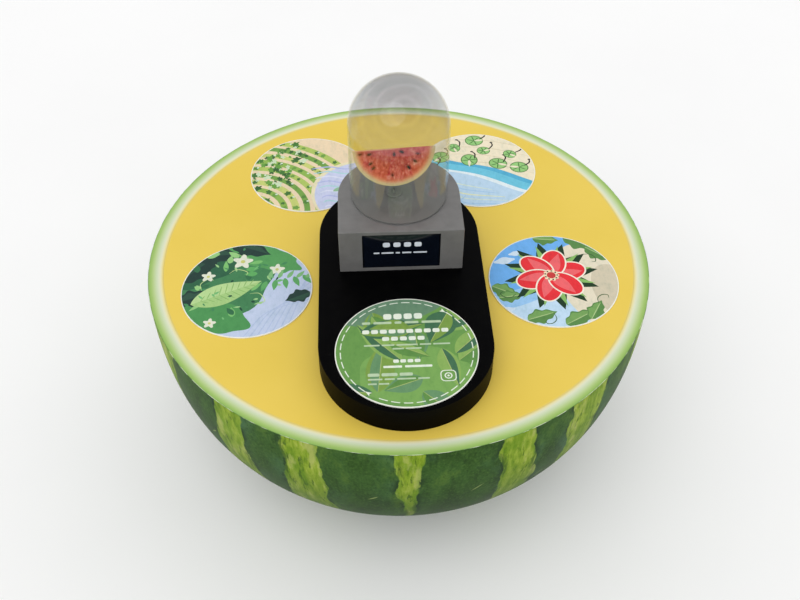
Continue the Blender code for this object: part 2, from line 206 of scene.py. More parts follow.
# Seeds on the front face: distance along the ridge, down from it, and how far each shows
FRONT_SEEDS = [
    (-0.094, 0.012, 0.55),
    (-0.069, 0.014, 0.80),
    (-0.066, 0.042, 0.70),
    (-0.059, 0.056, 0.75),
    (-0.006, 0.080, 0.50),
    (0.000, 0.018, 0.90),
    (0.021, 0.012, 1.00),
    (0.040, 0.060, 1.00),
    (0.058, 0.042, 0.80),
    (0.066, 0.020, 0.55),
]
BACK_SEED_COUNT = 9
BACK_SEED_RING = 0.66


# Node materials


def rgb(*levels):
    """Turns a picture's 0 to 255 levels into the linear colour that a shader takes."""
    shares = [level / 255 for level in levels]
    linear = [v / 12.92 if v <= 0.04045 else ((v + 0.055) / 1.055) ** 2.4 for v in shares]
    return (*linear, 1.0)


class Finish:
    """A material put together node by node round one Principled shader."""

    def __init__(self, name, roughness=0.5, **sockets):
        self.material = bpy.data.materials.new(name)
        self.material.use_nodes = True
        self.tree = self.material.node_tree
        self.shader = self.tree.nodes["Principled BSDF"]
        self.shader.inputs["Roughness"].default_value = roughness
        for socket, value in sockets.items():
            self.shader.inputs[socket.replace("_", " ")].default_value = value
        self.place = self.node("TexCoord").outputs["Object"]

    def feed(self, socket, value):
        if isinstance(value, bpy.types.NodeSocket):
            self.tree.links.new(value, socket)
        else:
            socket.default_value = value

    def node(self, kind, inputs=None, **settings):
        made = self.tree.nodes.new("ShaderNode" + kind)
        for name, value in settings.items():
            setattr(made, name, value)
        for socket, value in (inputs or {}).items():
            self.feed(made.inputs[socket], value)
        return made

    def attribute(self, name, output="Fac"):
        return self.node("Attribute", attribute_name=name).outputs[output]

    def noise(self, scale, detail=4.0, where=None, stretch=None, roughness=0.55):
        where = where or self.place
        if stretch:
            where = self.node("VectorMath", {0: where, 1: stretch}, operation="MULTIPLY").outputs[0]
        values = {"Vector": where, "Scale": scale, "Detail": detail, "Roughness": roughness}
        return self.node("TexNoise", values).outputs[0]

    def maths(self, operation, one, two=0.0):
        return self.node("Math", {0: one, 1: two}, operation=operation).outputs[0]

    def times(self, one, two):
        return self.maths("MULTIPLY", one, two)

    def plus(self, one, two):
        return self.maths("ADD", one, two)

    def minus(self, one, two):
        return self.maths("SUBTRACT", one, two)

    def sway(self, noise_value, width):
        """Turns noise into a shift to either side, that wide from end to end."""
        return self.times(self.minus(noise_value, 0.5), width)

    def fade(self, value, start, end):
        """0 below start, 1 above end, and a straight line between. Start may be the larger."""
        return self.node("MapRange", {0: value, 1: start, 2: end}).outputs[0]

    def ramp(self, value, *stops):
        made = self.node("ValToRGB", {0: value})
        bands = made.color_ramp.elements
        bands.remove(bands[1])
        bands[0].position = stops[0][0]
        bands[0].color = stops[0][1]
        for position, colour in stops[1:]:
            bands.new(position).color = colour
        return made.outputs["Color"]

    def mix(self, share, one, two, kind="MIX"):
        made = self.node("Mix", {0: share, 6: one, 7: two}, data_type="RGBA", blend_type=kind)
        return made.outputs[2]

    def lay(self, base, ink, share, strength):
        """Lays an ink over a colour, at that strength where the share is 1."""
        return self.mix(self.times(share, strength), base, ink)

    def colour(self, value):
        self.feed(self.shader.inputs["Base Color"], value)

    def rough(self, value, least, most):
        """Roughness that runs from least to most as value goes from 0 to 1."""
        made = self.node("MapRange", {0: value, 3: least, 4: most})
        self.feed(self.shader.inputs["Roughness"], made.outputs[0])

    def bump(self, height, distance, strength=1.0):
        made = self.node("Bump", {"Height": height, "Distance": distance, "Strength": strength})
        self.feed(self.shader.inputs["Normal"], made.outputs[0])


def rind_finish():
    """Dark green skin with ragged light stripes, from the distance to the nearest stripe's edge."""
    f = Finish("rind_skin", 0.45, Specular_IOR_Level=0.06)
    where = f.attribute("rind_map", "Vector")
    down = f.node("SeparateXYZ", {0: where}).outputs[2]

    def grain(scale, detail, squash, roughness=0.55):
        """Noise that is drawn out down the rind as squash goes below 1."""
        return f.noise(scale, detail, where, (1, 1, squash), roughness)

    wander = f.sway(grain(24, 4, 0.6, 0.6), 0.026)
    nibble = f.sway(grain(80, 4, 0.28, 0.65), 0.014)
    inside = f.plus(f.plus(f.attribute("stripe"), wander), nibble)

    mottle = grain(9, 7, 0.6, 0.68)
    dark = f.ramp(
        mottle,
        (0.30, rgb(30, 60, 14)),
        (0.44, rgb(46, 78, 24)),
        (0.55, rgb(54, 88, 34)),
        (0.68, rgb(80, 112, 40)),
    )
    bloom = f.times(f.fade(grain(11, 5, 0.6), 0.46, 0.66), f.fade(inside, -0.075, -0.010))
    dark = f.lay(dark, rgb(70, 108, 76), bloom, 0.55)
    dark = f.lay(dark, rgb(28, 52, 14), f.fade(grain(30, 5, 0.35, 0.65), 0.54, 0.70), 0.55)
    speck = grain(150, 3, 0.7)
    dark = f.lay(dark, rgb(80, 116, 48), f.fade(speck, 0.52, 0.74), 0.50)
    dark = f.lay(dark, rgb(26, 50, 14), f.fade(speck, 0.44, 0.28), 0.55)
    for scratch in SCRATCHES:
        dark = f.mix(scratch_share(f, where, *scratch), dark, rgb(148, 166, 98))

    light = f.ramp(
        grain(40, 6, 0.24, 0.72),
        (0.28, rgb(62, 96, 10)),
        (0.39, rgb(100, 132, 20)),
        (0.49, rgb(130, 156, 38)),
        (0.59, rgb(154, 172, 62)),
        (0.74, rgb(192, 196, 120)),
    )
    light = f.lay(light, rgb(96, 136, 20), f.fade(grain(15, 4, 0.5), 0.50, 0.66), 0.60)
    light = f.lay(light, rgb(56, 90, 12), f.fade(grain(95, 3, 0.22, 0.6), 0.57, 0.66), 0.80)
    # Painted shade: the light stripes turn darker further down the bowl
    light = f.lay(light, rgb(74, 108, 20), f.fade(down, 0.12, 0.36), 0.50)
    light = f.lay(light, rgb(176, 180, 104), f.fade(grain(21, 5, 0.35, 0.6), 0.56, 0.66), 0.60)
    light = f.lay(light, rgb(104, 140, 44), f.fade(inside, 0.010, 0.0), 0.50)
    bite = f.times(f.fade(grain(32, 5, 0.22, 0.6), 0.54, 0.60), f.fade(inside, 0.024, 0.004))
    light = f.lay(light, rgb(50, 82, 18), bite, 0.80)
    near = f.fade(inside, -0.022, -0.002)
    edging = f.fade(grain(34, 4, 0.4), 0.46, 0.58)
    dark = f.mix(f.times(near, edging), dark, rgb(30, 56, 24))

    skin = f.mix(f.fade(inside, -0.0016, 0.0016), dark, light)
    # Painted shade: the whole skin is multiplied darker towards the bowl's bottom, where less light reaches
    shade = f.ramp(f.fade(down, 0.10, 0.40), (0.0, (1, 1, 1, 1)), (1.0, (0.62, 0.66, 0.60, 1)))
    f.colour(f.mix(1.0, skin, shade, "MULTIPLY"))
    f.rough(mottle, 0.40, 0.55)
    f.bump(f.noise(18, 5, where), 0.0012, 0.5)
    return f.material


def scratch_share(f, where, azimuth, below, length, slant):
    """How much of a pale scratch covers each place: 1 in its middle, 0 outside of it."""
    a = math.radians(azimuth)
    s = math.radians(slant)
    middle_point = (TABLE_RADIUS * math.cos(a), TABLE_RADIUS * math.sin(a), below)
    around = Vector((-math.sin(a), math.cos(a), 0))
    along = around * math.cos(s) - Vector((0, 0, 1)) * math.sin(s)
    across = around * math.sin(s) + Vector((0, 0, 1)) * math.cos(s)
    away = f.node("VectorMath", {0: where, 1: middle_point}, operation="SUBTRACT").outputs[0]
    parts = []
    for axis, size in ((along, length / 2), (across, SCRATCH_WIDTH / 2)):
        dot = f.node("VectorMath", {0: away, 1: tuple(axis / size)}, operation="DOT_PRODUCT")
        parts.append(f.maths("POWER", f.maths("ABSOLUTE", dot.outputs[1]), 2.0))
    reach = f.plus(f.plus(*parts), f.times(f.noise(160, 3, where), 0.9))
    return f.times(f.fade(reach, 1.35, 0.70), 0.80)


def rim_colours(f):
    """The cut edge's colours by distance from the axis: yellow inside, then cream, then green."""
    flat = f.node("VectorMath", {0: f.place, 1: (1, 1, 0)}, operation="MULTIPLY").outputs[0]
    radius = f.node("VectorMath", {0: flat}, operation="LENGTH").outputs[1]
    drift = f.sway(f.noise(7, 3), 0.004)
    share = f.fade(f.plus(radius, drift), *RIM_FADE)
    yellow = f.mix(f.fade(f.noise(3, 4), 0.3, 0.7), rgb(232, 202, 84), rgb(236, 206, 92))
    bands = f.ramp(
        share,
        (0.18, rgb(234, 204, 88)),
        (0.26, rgb(228, 208, 122)),
        (0.36, rgb(231, 226, 180)),
        (0.44, rgb(222, 226, 198)),
        (0.56, rgb(205, 219, 182)),
        (0.70, rgb(188, 209, 148)),
        (0.84, rgb(164, 196, 112)),
        (1.00, rgb(138, 178, 88)),
    )
    return f.mix(f.fade(share, 0.14, 0.20), yellow, bands)


def board_finish(name, roughness, clouds, grain, depth):
    """Satin paint on a board. clouds are the scale and detail of its uneven gloss."""
    f = Finish(name, roughness, Specular_IOR_Level=0.15)
    f.colour(rim_colours(f))
    f.rough(f.noise(*clouds), roughness - 0.06, roughness + 0.06)
    f.bump(f.noise(grain, 2), 0.0002, depth)
    return f.material


def bead_finish():
    """Green sealant bead, with broken runs of white painted on it as a highlight along the seam."""
    f = Finish("seam_bead", 0.45)
    painted_highlight_runs = f.noise(22, 3)
    f.colour(f.ramp(painted_highlight_runs, (0.47, rgb(96, 138, 62)), (0.58, rgb(222, 230, 204))))
    f.bump(f.noise(150, 3), 0.0004, 0.4)
    return f.material


def print_finish(name, gloss=0.30):
    """Printed film: the ink's own colour, unevenly laid, with a faint grain."""
    f = Finish(name, gloss, Specular_IOR_Level=0.20)
    ink = f.attribute("ink", "Color")
    dab = f.noise(70, 6, stretch=(1, 0.55, 1), roughness=0.68)
    wash = f.ramp(
        dab,
        (0.32, (0.80, 0.86, 0.84, 1)),
        (0.46, (0.95, 0.97, 0.95, 1)),
        (0.60, (1.04, 1.03, 1.01, 1)),
    )
    ink = f.mix(0.80, ink, wash, "MULTIPLY")
    grain = f.ramp(f.noise(420, 2), (0.35, (0.93, 0.93, 0.93, 1)), (0.60, (1, 1, 1, 1)))
    f.colour(f.mix(0.8, ink, grain, "MULTIPLY"))
    f.rough(f.noise(40, 4), gloss - 0.05, gloss + 0.06)
    f.bump(f.noise(500, 2), 0.0001, 0.3)
    return f.material


def paint_finish(name, dark, light, roughness, scale=30, grain=350, depth=0.0002, gloss=0.5):
    """Even paint with a slow change of tone and a fine orange-peel surface."""
    f = Finish(name, roughness, Specular_IOR_Level=gloss)
    tone = f.noise(scale, 5)
    f.colour(f.mix(f.fade(tone, 0.35, 0.65), rgb(*dark), rgb(*light)))
    f.rough(tone, roughness - 0.06, roughness + 0.06)
    f.bump(f.noise(grain, 3), depth, 0.5)
    return f.material


def metal_finish(name, dark, light, roughness, stretch):
    """Bare metal with fine drawn lines along its long way."""
    f = Finish(name, roughness, Metallic=1.0)
    lines = f.noise(60, 6, stretch=stretch)
    f.colour(f.mix(f.fade(lines, 0.3, 0.7), rgb(*dark), rgb(*light)))
    f.rough(lines, roughness - 0.08, roughness + 0.12)
    f.bump(lines, 0.0002, 0.4)
    return f.material


def screen_finish():
    f = Finish("screen_picture", 0.06)
    ink = f.attribute("ink", "Color")
    glow = f.noise(14, 3)
    f.colour(f.mix(f.fade(glow, 0.3, 0.8), ink, f.mix(0.8, ink, (1.0, 1.0, 1.0, 1), "SOFT_LIGHT")))
    f.rough(f.noise(60, 4), 0.04, 0.10)
    return f.material


def clear_finish(name, stops, mirror_least, mirror_edge, shelf=None):
    """Clear plastic that lets through a share of the light at each surface.

    stops are (height, share) pairs from the lowest up; where the shares fall, as on the dome's hemisphere
    and crown, the grey is painted shade.
    A foot whose top face is at the height shelf is matt grey, and its sides and the start of the rod on it
    are a paler grey that is painted light on those shaded faces.
    """
    f = Finish(name, 0.03)
    height = f.node("SeparateXYZ", {0: f.place}).outputs[2]
    start = stops[0][0]
    reach = stops[-1][0] - start
    shares = [((level - start) / reach, (share, share, share, 1)) for level, share in stops]
    # On the dome, the darker shares of this height ramp are painted shade on its hemisphere and crown
    tint_and_shade = f.ramp(f.fade(height, start, start + reach), *shares)
    smear = f.fade(f.noise(6, 4, stretch=(0.5, 0.5, 3.0)), 0.40, 0.70)
    tint_and_shade = f.lay(tint_and_shade, (0.45, 0.45, 0.46, 1), smear, 0.05)
    away = f.node("VectorMath", {0: f.place, 1: RIPPLE_CENTRE}, operation="SUBTRACT").outputs[0]
    far = f.node("VectorMath", {0: away}, operation="LENGTH").outputs[1]
    far = f.plus(far, f.times(f.noise(5, 3), 0.030))
    wave = f.maths("SINE", f.times(far, math.tau / RIPPLE_STEP))
    ripple = f.times(f.fade(wave, 0.35, 1.0), f.fade(height, *RIPPLE_HEIGHTS))
    tint_and_shade = f.lay(tint_and_shade, (0.97, 0.97, 0.97, 1), ripple, 0.14)
    clear = f.node("BsdfTransparent", {"Color": tint_and_shade})
    gloss = f.node("BsdfGlossy", {"Color": (0.92, 0.93, 0.93, 1), "Roughness": 0.03})
    facing = f.node("LayerWeight", {"Blend": 0.5}).outputs["Facing"]
    slant = f.times(f.maths("POWER", facing, 9.0), mirror_edge)
    mirror = f.plus(slant, mirror_least)
    both = f.node("MixShader", {0: mirror, 1: clear.outputs[0], 2: gloss.outputs[0]})
    out = f.tree.nodes["Material Output"]
    if shelf:
        painted_light_off_shelf = f.maths("ABSOLUTE", f.minus(height, shelf))
        # Painted light: the foot's sides and the rod's start are a paler grey than its top, lifting faces
        # that lie in shade
        f.colour(f.mix(f.fade(painted_light_off_shelf, 0.0001, 0.0007), rgb(106, 106, 103), rgb(146, 146, 141)))
        f.shader.inputs["Roughness"].default_value = 0.5
        share = f.fade(height, shelf + STAND_MATT, shelf + STAND_MATT + 0.0003)
        both = f.node("MixShader", {0: share, 1: f.shader.outputs[0], 2: both.outputs[0]})
    else:
        f.tree.nodes.remove(f.shader)
    f.tree.links.new(both.outputs[0], out.inputs["Surface"])
    return f.material


def flesh_finish():
    """Melon flesh that pales towards the rind, with a green skin on the ball's outside."""
    f = Finish("melon_flesh", 0.34, Specular_IOR_Level=0.25)
    f.shader.inputs["Subsurface Weight"].default_value = 0.06
    f.shader.inputs["Subsurface Radius"].default_value = (0.006, 0.002, 0.001)
    where = f.attribute("slice_map", "Vector")
    out = f.attribute("depth")
    side = f.attribute("lean")
    seeds = f.attribute("seed_near")
    shown = f.attribute("seed_strength")
    parts = f.node("SeparateXYZ", {0: where})
    along = parts.outputs[0]
    height = parts.outputs[2]
    uneven = f.sway(f.noise(7, 4, where), 0.05)
    ring = f.plus(out, uneven)
    fibre = f.noise(13, 6, where, (1, 1, 0.45), 0.70)
    red = f.ramp(
        fibre,
        (0.32, rgb(168, 42, 40)),
        (0.43, rgb(202, 70, 58)),
        (0.51, rgb(222, 98, 78)),
        (0.58, rgb(234, 138, 114)),
        (0.70, rgb(246, 184, 160)),
    )
    pink = f.fade(height, -0.50, -0.05)
    red = f.lay(red, rgb(218, 84, 92), pink, 0.45)
    blotch = f.fade(f.noise(5, 4, where), 0.50, 0.66)
    red = f.lay(red, rgb(196, 44, 40), blotch, 0.35)
    bands = f.ramp(
        ring,
        (0.78, rgb(222, 98, 72)),
        (0.86, rgb(228, 140, 100)),
        (0.915, rgb(226, 178, 130)),
        (0.940, rgb(222, 196, 146)),
        (1.00, rgb(216, 202, 150)),
    )
    flesh = f.mix(f.fade(ring, 0.74, 0.90), red, bands)
    pulp = f.noise(48, 5, where, roughness=0.7)
    grain = f.ramp(pulp, (0.32, (0.80, 0.72, 0.70, 1)), (0.62, (1.05, 1.05, 1.05, 1)))
    flesh = f.mix(0.8, flesh, grain, "MULTIPLY")
    # Painted highlight: a peach line along the left part of the ridge, where light catches the edge between
    # the cut faces
    ridge = f.times(f.fade(height, -0.045, -0.015), f.fade(along, 0.20, -0.10))
    flesh = f.lay(flesh, rgb(246, 196, 140), ridge, 0.75)
    halo = f.times(f.fade(seeds, 2.1, 0.9), shown)
    flesh = f.lay(flesh, rgb(98, 20, 18), halo, 0.75)
    wave = f.sway(f.noise(9, 5, where), 9.0)
    stripe = f.maths("SINE", f.plus(f.times(side, 0.42), wave))
    skin = f.mix(f.fade(stripe, -0.15, 0.25), rgb(46, 82, 38), rgb(142, 172, 88))
    f.colour(f.mix(f.fade(out, 0.9985, 0.9995), flesh, skin))
    f.rough(fibre, 0.24, 0.46)
    f.bump(f.noise(90, 5, where), 0.0006, 0.5)
    return f.material


def seed_finish():
    """Seeds from near black, ripe, to dark red, unripe and still under a film of flesh."""
    f = Finish("melon_seeds", 0.20, Specular_IOR_Level=0.35)
    ripe = f.fade(f.attribute("ripeness"), 0.50, 0.95)
    black = f.mix(f.fade(f.noise(160, 4), 0.35, 0.7), rgb(24, 14, 12), rgb(54, 30, 24))
    f.colour(f.mix(ripe, rgb(116, 34, 28), black))
    f.rough(f.noise(90, 3), 0.14, 0.30)
    f.bump(f.noise(400, 3), 0.0002, 0.4)
    return f.material


# Meshes


def added(name, data):
    """Puts a new object in the scene."""
    obj = bpy.data.objects.new(name, data)
    bpy.context.scene.collection.objects.link(obj)
    return obj


def solid(name, verts, faces, material, sharp=38):
    """Makes a closed mesh object with its faces pointing out, and shades it smooth."""
    mesh = bpy.data.meshes.new(name)
    mesh.from_pydata([tuple(v) for v in verts], [], faces)
    bm = bmesh.new()
    bm.from_mesh(mesh)
    bmesh.ops.recalc_face_normals(bm, faces=bm.faces[:])
    bm.to_mesh(mesh)
    bm.free()
    mesh.shade_smooth()
    mesh.set_sharp_from_angle(angle=math.radians(sharp))
    mesh.materials.append(material)
    obj = added(name, mesh)
    even = obj.modifiers.new("even_shading", "WEIGHTED_NORMAL")
    even.keep_sharp = True
    return obj


def dress(obj, slot, *nodes):
    """Puts a piece on the only body, where it stands for the nodes named, and hides those nodes."""
    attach(obj, "root")
    if nodes:
        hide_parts(*nodes)


def arc(centre_x, centre_y, radius, first, last, count):
    turns = [math.radians(first + (last - first) * i / count) for i in range(count + 1)]
    return [(centre_x + radius * math.cos(t), centre_y + radius * math.sin(t)) for t in turns]


def eased(points, radius, steps=4):
    """Rounds the inner corners of a chain of points."""
    points = [np.array(p, float) for p in points]
    chain = [points[0]]
    for before, corner, after in zip(points, points[1:], points[2:]):
        back = before - corner
        on = after - corner
        reach = min(radius, np.linalg.norm(back) / 2, np.linalg.norm(on) / 2)
        start = corner + back / np.linalg.norm(back) * reach
        end = corner + on / np.linalg.norm(on) * reach
        for i in range(steps + 1):
            t = i / steps
            chain.append((1 - t) ** 2 * start + 2 * t * (1 - t) * corner + t * t * end)
    chain.append(points[-1])
    return [(float(x), float(z)) for x, z in chain]


def turned(name, profile, material, steps=256, centre=(0, 0)):
    """Turns a chain of (radius, height) points about an upright axis.

    A chain that doesn't start and end on the axis is closed into a ring.
    """
    verts = []
    rows = []
    for radius, height in profile:
        if radius < 1e-7:
            rows.append([len(verts)] * steps)
            verts.append((*centre, height))
        else:
            rows.append(list(range(len(verts), len(verts) + steps)))
            circle = arc(*centre, radius, 0, 360, steps)[:-1]
            verts += [(x, y, height) for x, y in circle]
    pairs = list(zip(rows, rows[1:]))
    if profile[0][0] > 1e-7:
        pairs.append((rows[-1], rows[0]))
    faces = []
    for one, two in pairs:
        for i in range(steps):
            j = (i + 1) % steps
            faces.append(list(dict.fromkeys((one[i], one[j], two[j], two[i]))))
    return solid(name, verts, faces, material)


def lofted(name, outline, levels, material):
    """Stacks an outline at (inset, height) levels, and closes both ends with a flat face."""
    rings = [[(x, y, height) for x, y in outline(inset)] for inset, height in levels]
    count = len(rings[0])
    verts = [point for ring in rings for point in ring]
    faces = [list(range(count)), list(range(len(verts) - count, len(verts)))]
    for level in range(len(rings) - 1):
        base = level * count
        for i in range(count):
            j = (i + 1) % count
            faces.append((base + i, base + j, base + count + j, base + count + i))
    return solid(name, verts, faces, material)


def cut(obj, cutter):
    """Takes a cutter's shape out of a piece for good."""
    boolean = obj.modifiers.new("cut", "BOOLEAN")
    boolean.operation = "DIFFERENCE"
    boolean.object = cutter
    boolean.solver = "EXACT"
    obj.modifiers.move(obj.modifiers.find("cut"), 0)
    bpy.context.view_layer.objects.active = obj
    with bpy.context.temp_override(object=obj, active_object=obj):
        bpy.ops.object.modifier_apply(modifier="cut")
    bpy.data.objects.remove(cutter, do_unlink=True)


def set_values(mesh, name, values):
    """Stores one number, or one vector, for each vertex."""
    values = np.asarray(values, np.float32)
    kind, slot = ("FLOAT", "value") if values.ndim == 1 else ("FLOAT_VECTOR", "vector")
    mesh.attributes.new(name, kind, "POINT").data.foreach_set(slot, values.ravel())


def coordinates(mesh):
    flat = np.zeros(len(mesh.vertices) * 3)
    mesh.vertices.foreach_get("co", flat)
    return flat.reshape(-1, 3)


# The melon body and its top


def melon_point(turn):
    share = 2 / MELON_POWER
    radius = TABLE_RADIUS * math.cos(turn) ** share
    return radius, TABLE_TOP - MELON_DEPTH * math.sin(turn) ** share


def melon_turn(height):
    return math.asin(((TABLE_TOP - height) / MELON_DEPTH) ** (MELON_POWER / 2))


def stripe_list():
    """Every light stripe's four edges and a phase for its wander."""
    draw = random.Random(STRIPE_SEED)
    stripes = [(*stripe, draw.uniform(0, 6)) for stripe in FRONT_STRIPES]
    first = FRONT_STRIPES[-1][1]
    free = FRONT_STRIPES[0][0] + 360 - first
    for i in range(1, OTHER_STRIPES + 1):
        azimuth = first + free * i / (OTHER_STRIPES + 1) + draw.uniform(-1.8, 1.8)
        half = draw.uniform(2.8, 5.4)
        below = half * draw.uniform(0.8, 1.3)
        edges = (azimuth - half, azimuth + half, azimuth - below, azimuth + below)
        stripes.append((*edges, draw.uniform(0, 6)))
    return stripes


def stripe_field(azimuth, down):
    """Distance into the nearest light stripe, in metres at the rim, below 0 outside of it."""
    best = np.full(azimuth.shape, -180.0)
    share = np.clip(down / STRIPE_DEPTH, 0, 1.6)
    for left, right, left_below, right_below, phase in stripe_list():
        one = left + (left_below - left) * share
        two = right + (right_below - right) * share
        wander = 0.30 * np.sin(23 * down + phase) + 0.20 * np.sin(51 * down + 2.3 * phase)
        half = (two - one) / 2 + 0.25 * np.sin(37 * down + 1.7 * phase)
        away = (azimuth - (one + two) / 2 - wander + 180) % 360 - 180
        best = np.maximum(best, half - np.abs(away))
    return np.radians(best) * TABLE_RADIUS


def make_rind():
    """The bowl, with a thin skin that runs up over the rim's side to the table's top edge."""
    skin_top = TABLE_TOP - EDGE_ROUND
    first = melon_turn(skin_top)
    last = melon_turn(RIND_BOTTOM)
    shares = [(i / RIND_ROWS) ** RIND_BUNCHING for i in range(RIND_ROWS + 1)]
    outside = [melon_point(first + (last - first) * share) for share in shares]
    rim_side = outside[0][0] - SKIN_EDGE
    inside = []
    lip = melon_turn(LIP_TOP)
    for i in range(LINING_ROWS + 1):
        radius, height = melon_point(lip + (last - lip) * i / LINING_ROWS)
        inside.append((radius - RIND_WALL, height + 0.4 * RIND_WALL * i / LINING_ROWS))
    inside = [p for p in inside if p[1] < LIP_TOP - 2 * RIND_WALL]
    profile = [(0, RIND_BOTTOM)] + outside[::-1]
    profile += [(rim_side, skin_top), (rim_side, LIP_TOP), (LIP_INNER_RADIUS, LIP_TOP)]
    profile += [(LIP_INNER_RADIUS, LIP_TOP - RIND_WALL)] + inside + [(0, RIND_BOTTOM + RIND_WALL)]
    rind = turned("melon_rind", profile, rind_finish(), RIND_STEPS)
    map_rind(rind.data, np.array(outside))
    dress(rind, "rind", "rind_shell")


def map_rind(mesh, chain):
    """Stores each point's distance into a stripe, and its place round the rim and down the skin."""
    points = coordinates(mesh)
    radius = np.hypot(points[:, 0], points[:, 1])
    azimuth = np.degrees(np.arctan2(points[:, 1], points[:, 0]))
    run = np.concatenate([[0], np.cumsum(np.hypot(*np.diff(chain, axis=0).T))])
    down = np.interp(-points[:, 2], -chain[:, 1], run)
    flat = points[:, 2] < RIND_BOTTOM + 1e-6
    down = down + np.where(flat, chain[-1, 0] - radius, 0)
    around = points[:, :2] / np.maximum(radius, 1e-6)[:, None] * TABLE_RADIUS
    set_values(mesh, "stripe", stripe_field(azimuth, down))
    set_values(mesh, "rind_map", np.column_stack([around, down]))


def ring_chain(inner, *others):
    """A ring's outline, which starts and ends on its inner side, a little above its underside."""
    points = [(inner, TOP_BOTTOM + CHAIN_START), (inner, TOP_BOTTOM), *others]
    points += [(inner, TABLE_TOP), (inner, TOP_BOTTOM + CHAIN_END)]
    return eased(points, SEAM_ROUND)


def make_rim():
    outer = TABLE_RADIUS - SKIN_EDGE - SKIN_GAP
    bevel = [(outer, TABLE_TOP - BEVEL_DOWN), (outer - BEVEL_IN, TABLE_TOP)]
    profile = ring_chain(TOP_RADIUS + GAP, (outer, TOP_BOTTOM), *bevel)
    paint = board_finish("rim_paint", 0.42, (14, 4), 260, 0.35)
    dress(turned("rim_band", profile, paint, BOARD_STEPS), "rim_green", "rim_ring")
    centre = TABLE_RADIUS - BEAD / 2 - 2 * SKIN_GAP
    height = TABLE_TOP - EDGE_ROUND + BEAD / 2
    round_bead = arc(centre, height, BEAD * 0.65, 0, 360, 10)[:-1]
    dress(turned("seam_bead", round_bead, bead_finish(), BOARD_STEPS), "rim_green")


def make_top():
    profile = ring_chain(CABLE_HOLE_RADIUS, (TOP_RADIUS, TOP_BOTTOM), (TOP_RADIUS, TABLE_TOP))
    paint = board_finish("top_paint", 0.40, (9, 5), 300, 0.30)
    dress(turned("top_panel", profile, paint, BOARD_STEPS), "top_yellow", "table_top")


# Shapes for the prints, on a field where the panel's middle is 0, 0 and its art's edge is 1 away


def placed(points, x, y, turn):
    c = math.cos(math.radians(turn))
    s = math.sin(math.radians(turn))
    return [(x + px * c - py * s, y + px * s + py * c) for px, py in points]


def point_at(reach, x, y, turn):
    """The point that lies that far from x, y in the direction turn."""
    return placed([(reach, 0)], x, y, turn)[0]


def spot(x, y, wide, high=None, turn=0, lobes=0, depth=0.0):
    """An oval, with waves round its edge if it has lobes."""
    high = high or wide
    points = []
    for i in range(60):
        t = math.tau * i / 60
        swell = 1 + depth * math.cos(lobes * t)
        points.append((wide * swell * math.cos(t), high * swell * math.sin(t)))
    return placed(points, x, y, turn)


def leaf(x, y, length, width, turn, teeth=0, side=0):
    """A pointed leaf from its base, or with side 1 or -1 only that half of it."""
    shares = [i / 36 for i in range(37)]
    edge = []
    for t in shares:
        notch = 1 + 0.16 * math.sin(teeth * math.tau * t)
        edge.append((length * t, width / 2 * math.sin(math.pi * t**0.75) * notch))
    other = [(px, -py) for px, py in edge[-2:0:-1]]
    if side:
        edge = [(px, side * py) for px, py in edge]
        other = []
    return placed(edge + other, x, y, turn)


def stroke(path, width, taper=0.0):
    """A band of that width along a smooth curve through the path's points, thinner at its ends."""
    path = [np.array(p, float) for p in path]
    ends = [2 * path[0] - path[1]] + path + [2 * path[-1] - path[-2]]
    line = []
    for a, b, c, d in zip(ends, ends[1:], ends[2:], ends[3:]):
        for i in range(10):
            t = i / 10
            line.append(
                0.5 * (2 * b + (c - a) * t + (2 * a - 5 * b + 4 * c - d) * t * t
                       + (3 * b - a - 3 * c + d) * t**3)
            )
    line.append(path[-1])
    one = []
    two = []
    for i, point in enumerate(line):
        ahead = line[min(i + 1, len(line) - 1)] - line[max(i - 1, 0)]
        across = np.array([-ahead[1], ahead[0]]) / max(np.linalg.norm(ahead), 1e-9)
        share = i / (len(line) - 1)
        half = width / 2 * (1 - taper * abs(2 * share - 1) ** 2)
        one.append(tuple(point + across * half))
        two.append(tuple(point - across * half))
    return one + two[::-1]


def vein(x, y, reach, turn, width, taper):
    """A straight stroke that starts at x, y and runs in the direction turn."""
    return stroke([(x, y), point_at(reach, x, y, turn)], width, taper)


def band(x, y, radius, width, first, last):
    """Part of a ring."""
    count = max(4, int(abs(last - first) / 4))
    outer = arc(x, y, radius + width / 2, first, last, count)
    return outer + arc(x, y, radius - width / 2, first, last, count)[::-1]


def rectangle(left, bottom, right, top):
    return [(left, bottom), (right, bottom), (right, top), (left, top)]


def bar(x, y, wide, high):
    """A rounded bar from its left end, at half its height."""
    r = min(wide, high) * 0.3
    corners = [(x + wide - r, y + high / 2 - r, 0), (x + r, y + high / 2 - r, 90)]
    corners += [(x + r, y - high / 2 + r, 180), (x + wide - r, y - high / 2 + r, 270)]
    return [p for cx, cy, turn in corners for p in arc(cx, cy, r, turn, turn + 90, 3)]


def bars(x, y, high, widths, gap):
    """A row of bars, which stands where the real panel has a line of words."""
    row = []
    for width in widths:
        row.append(bar(x, y, width, high))
        x += width + gap
    return row


def under(level, rise, height, waves, phase):
    """All of the field below a wavy line that climbs by rise from left to right."""
    line = []
    for i in range(61):
        x = -1.2 + 2.4 * i / 60
        line.append((x, level + rise * x + height * math.sin(waves * x + phase)))
    return line + [(1.2, -1.3), (-1.2, -1.3)]


def held_in(points, limit):
    """Adds points along long edges, then pulls in the ones that lie past the limit."""
    dense = []
    for one, two in zip(points, points[1:] + points[:1]):
        count = max(1, int(math.dist(one, two) / PRINT_STEP))
        for i in range(count):
            x, y = [a + (b - a) * i / count for a, b in zip(one, two)]
            dense.append((x, y))
    pulled = []
    for x, y in dense:
        size = math.hypot(x, y)
        share = limit / size if size > limit else 1.0
        pulled.append((x * share, y * share))
    return pulled


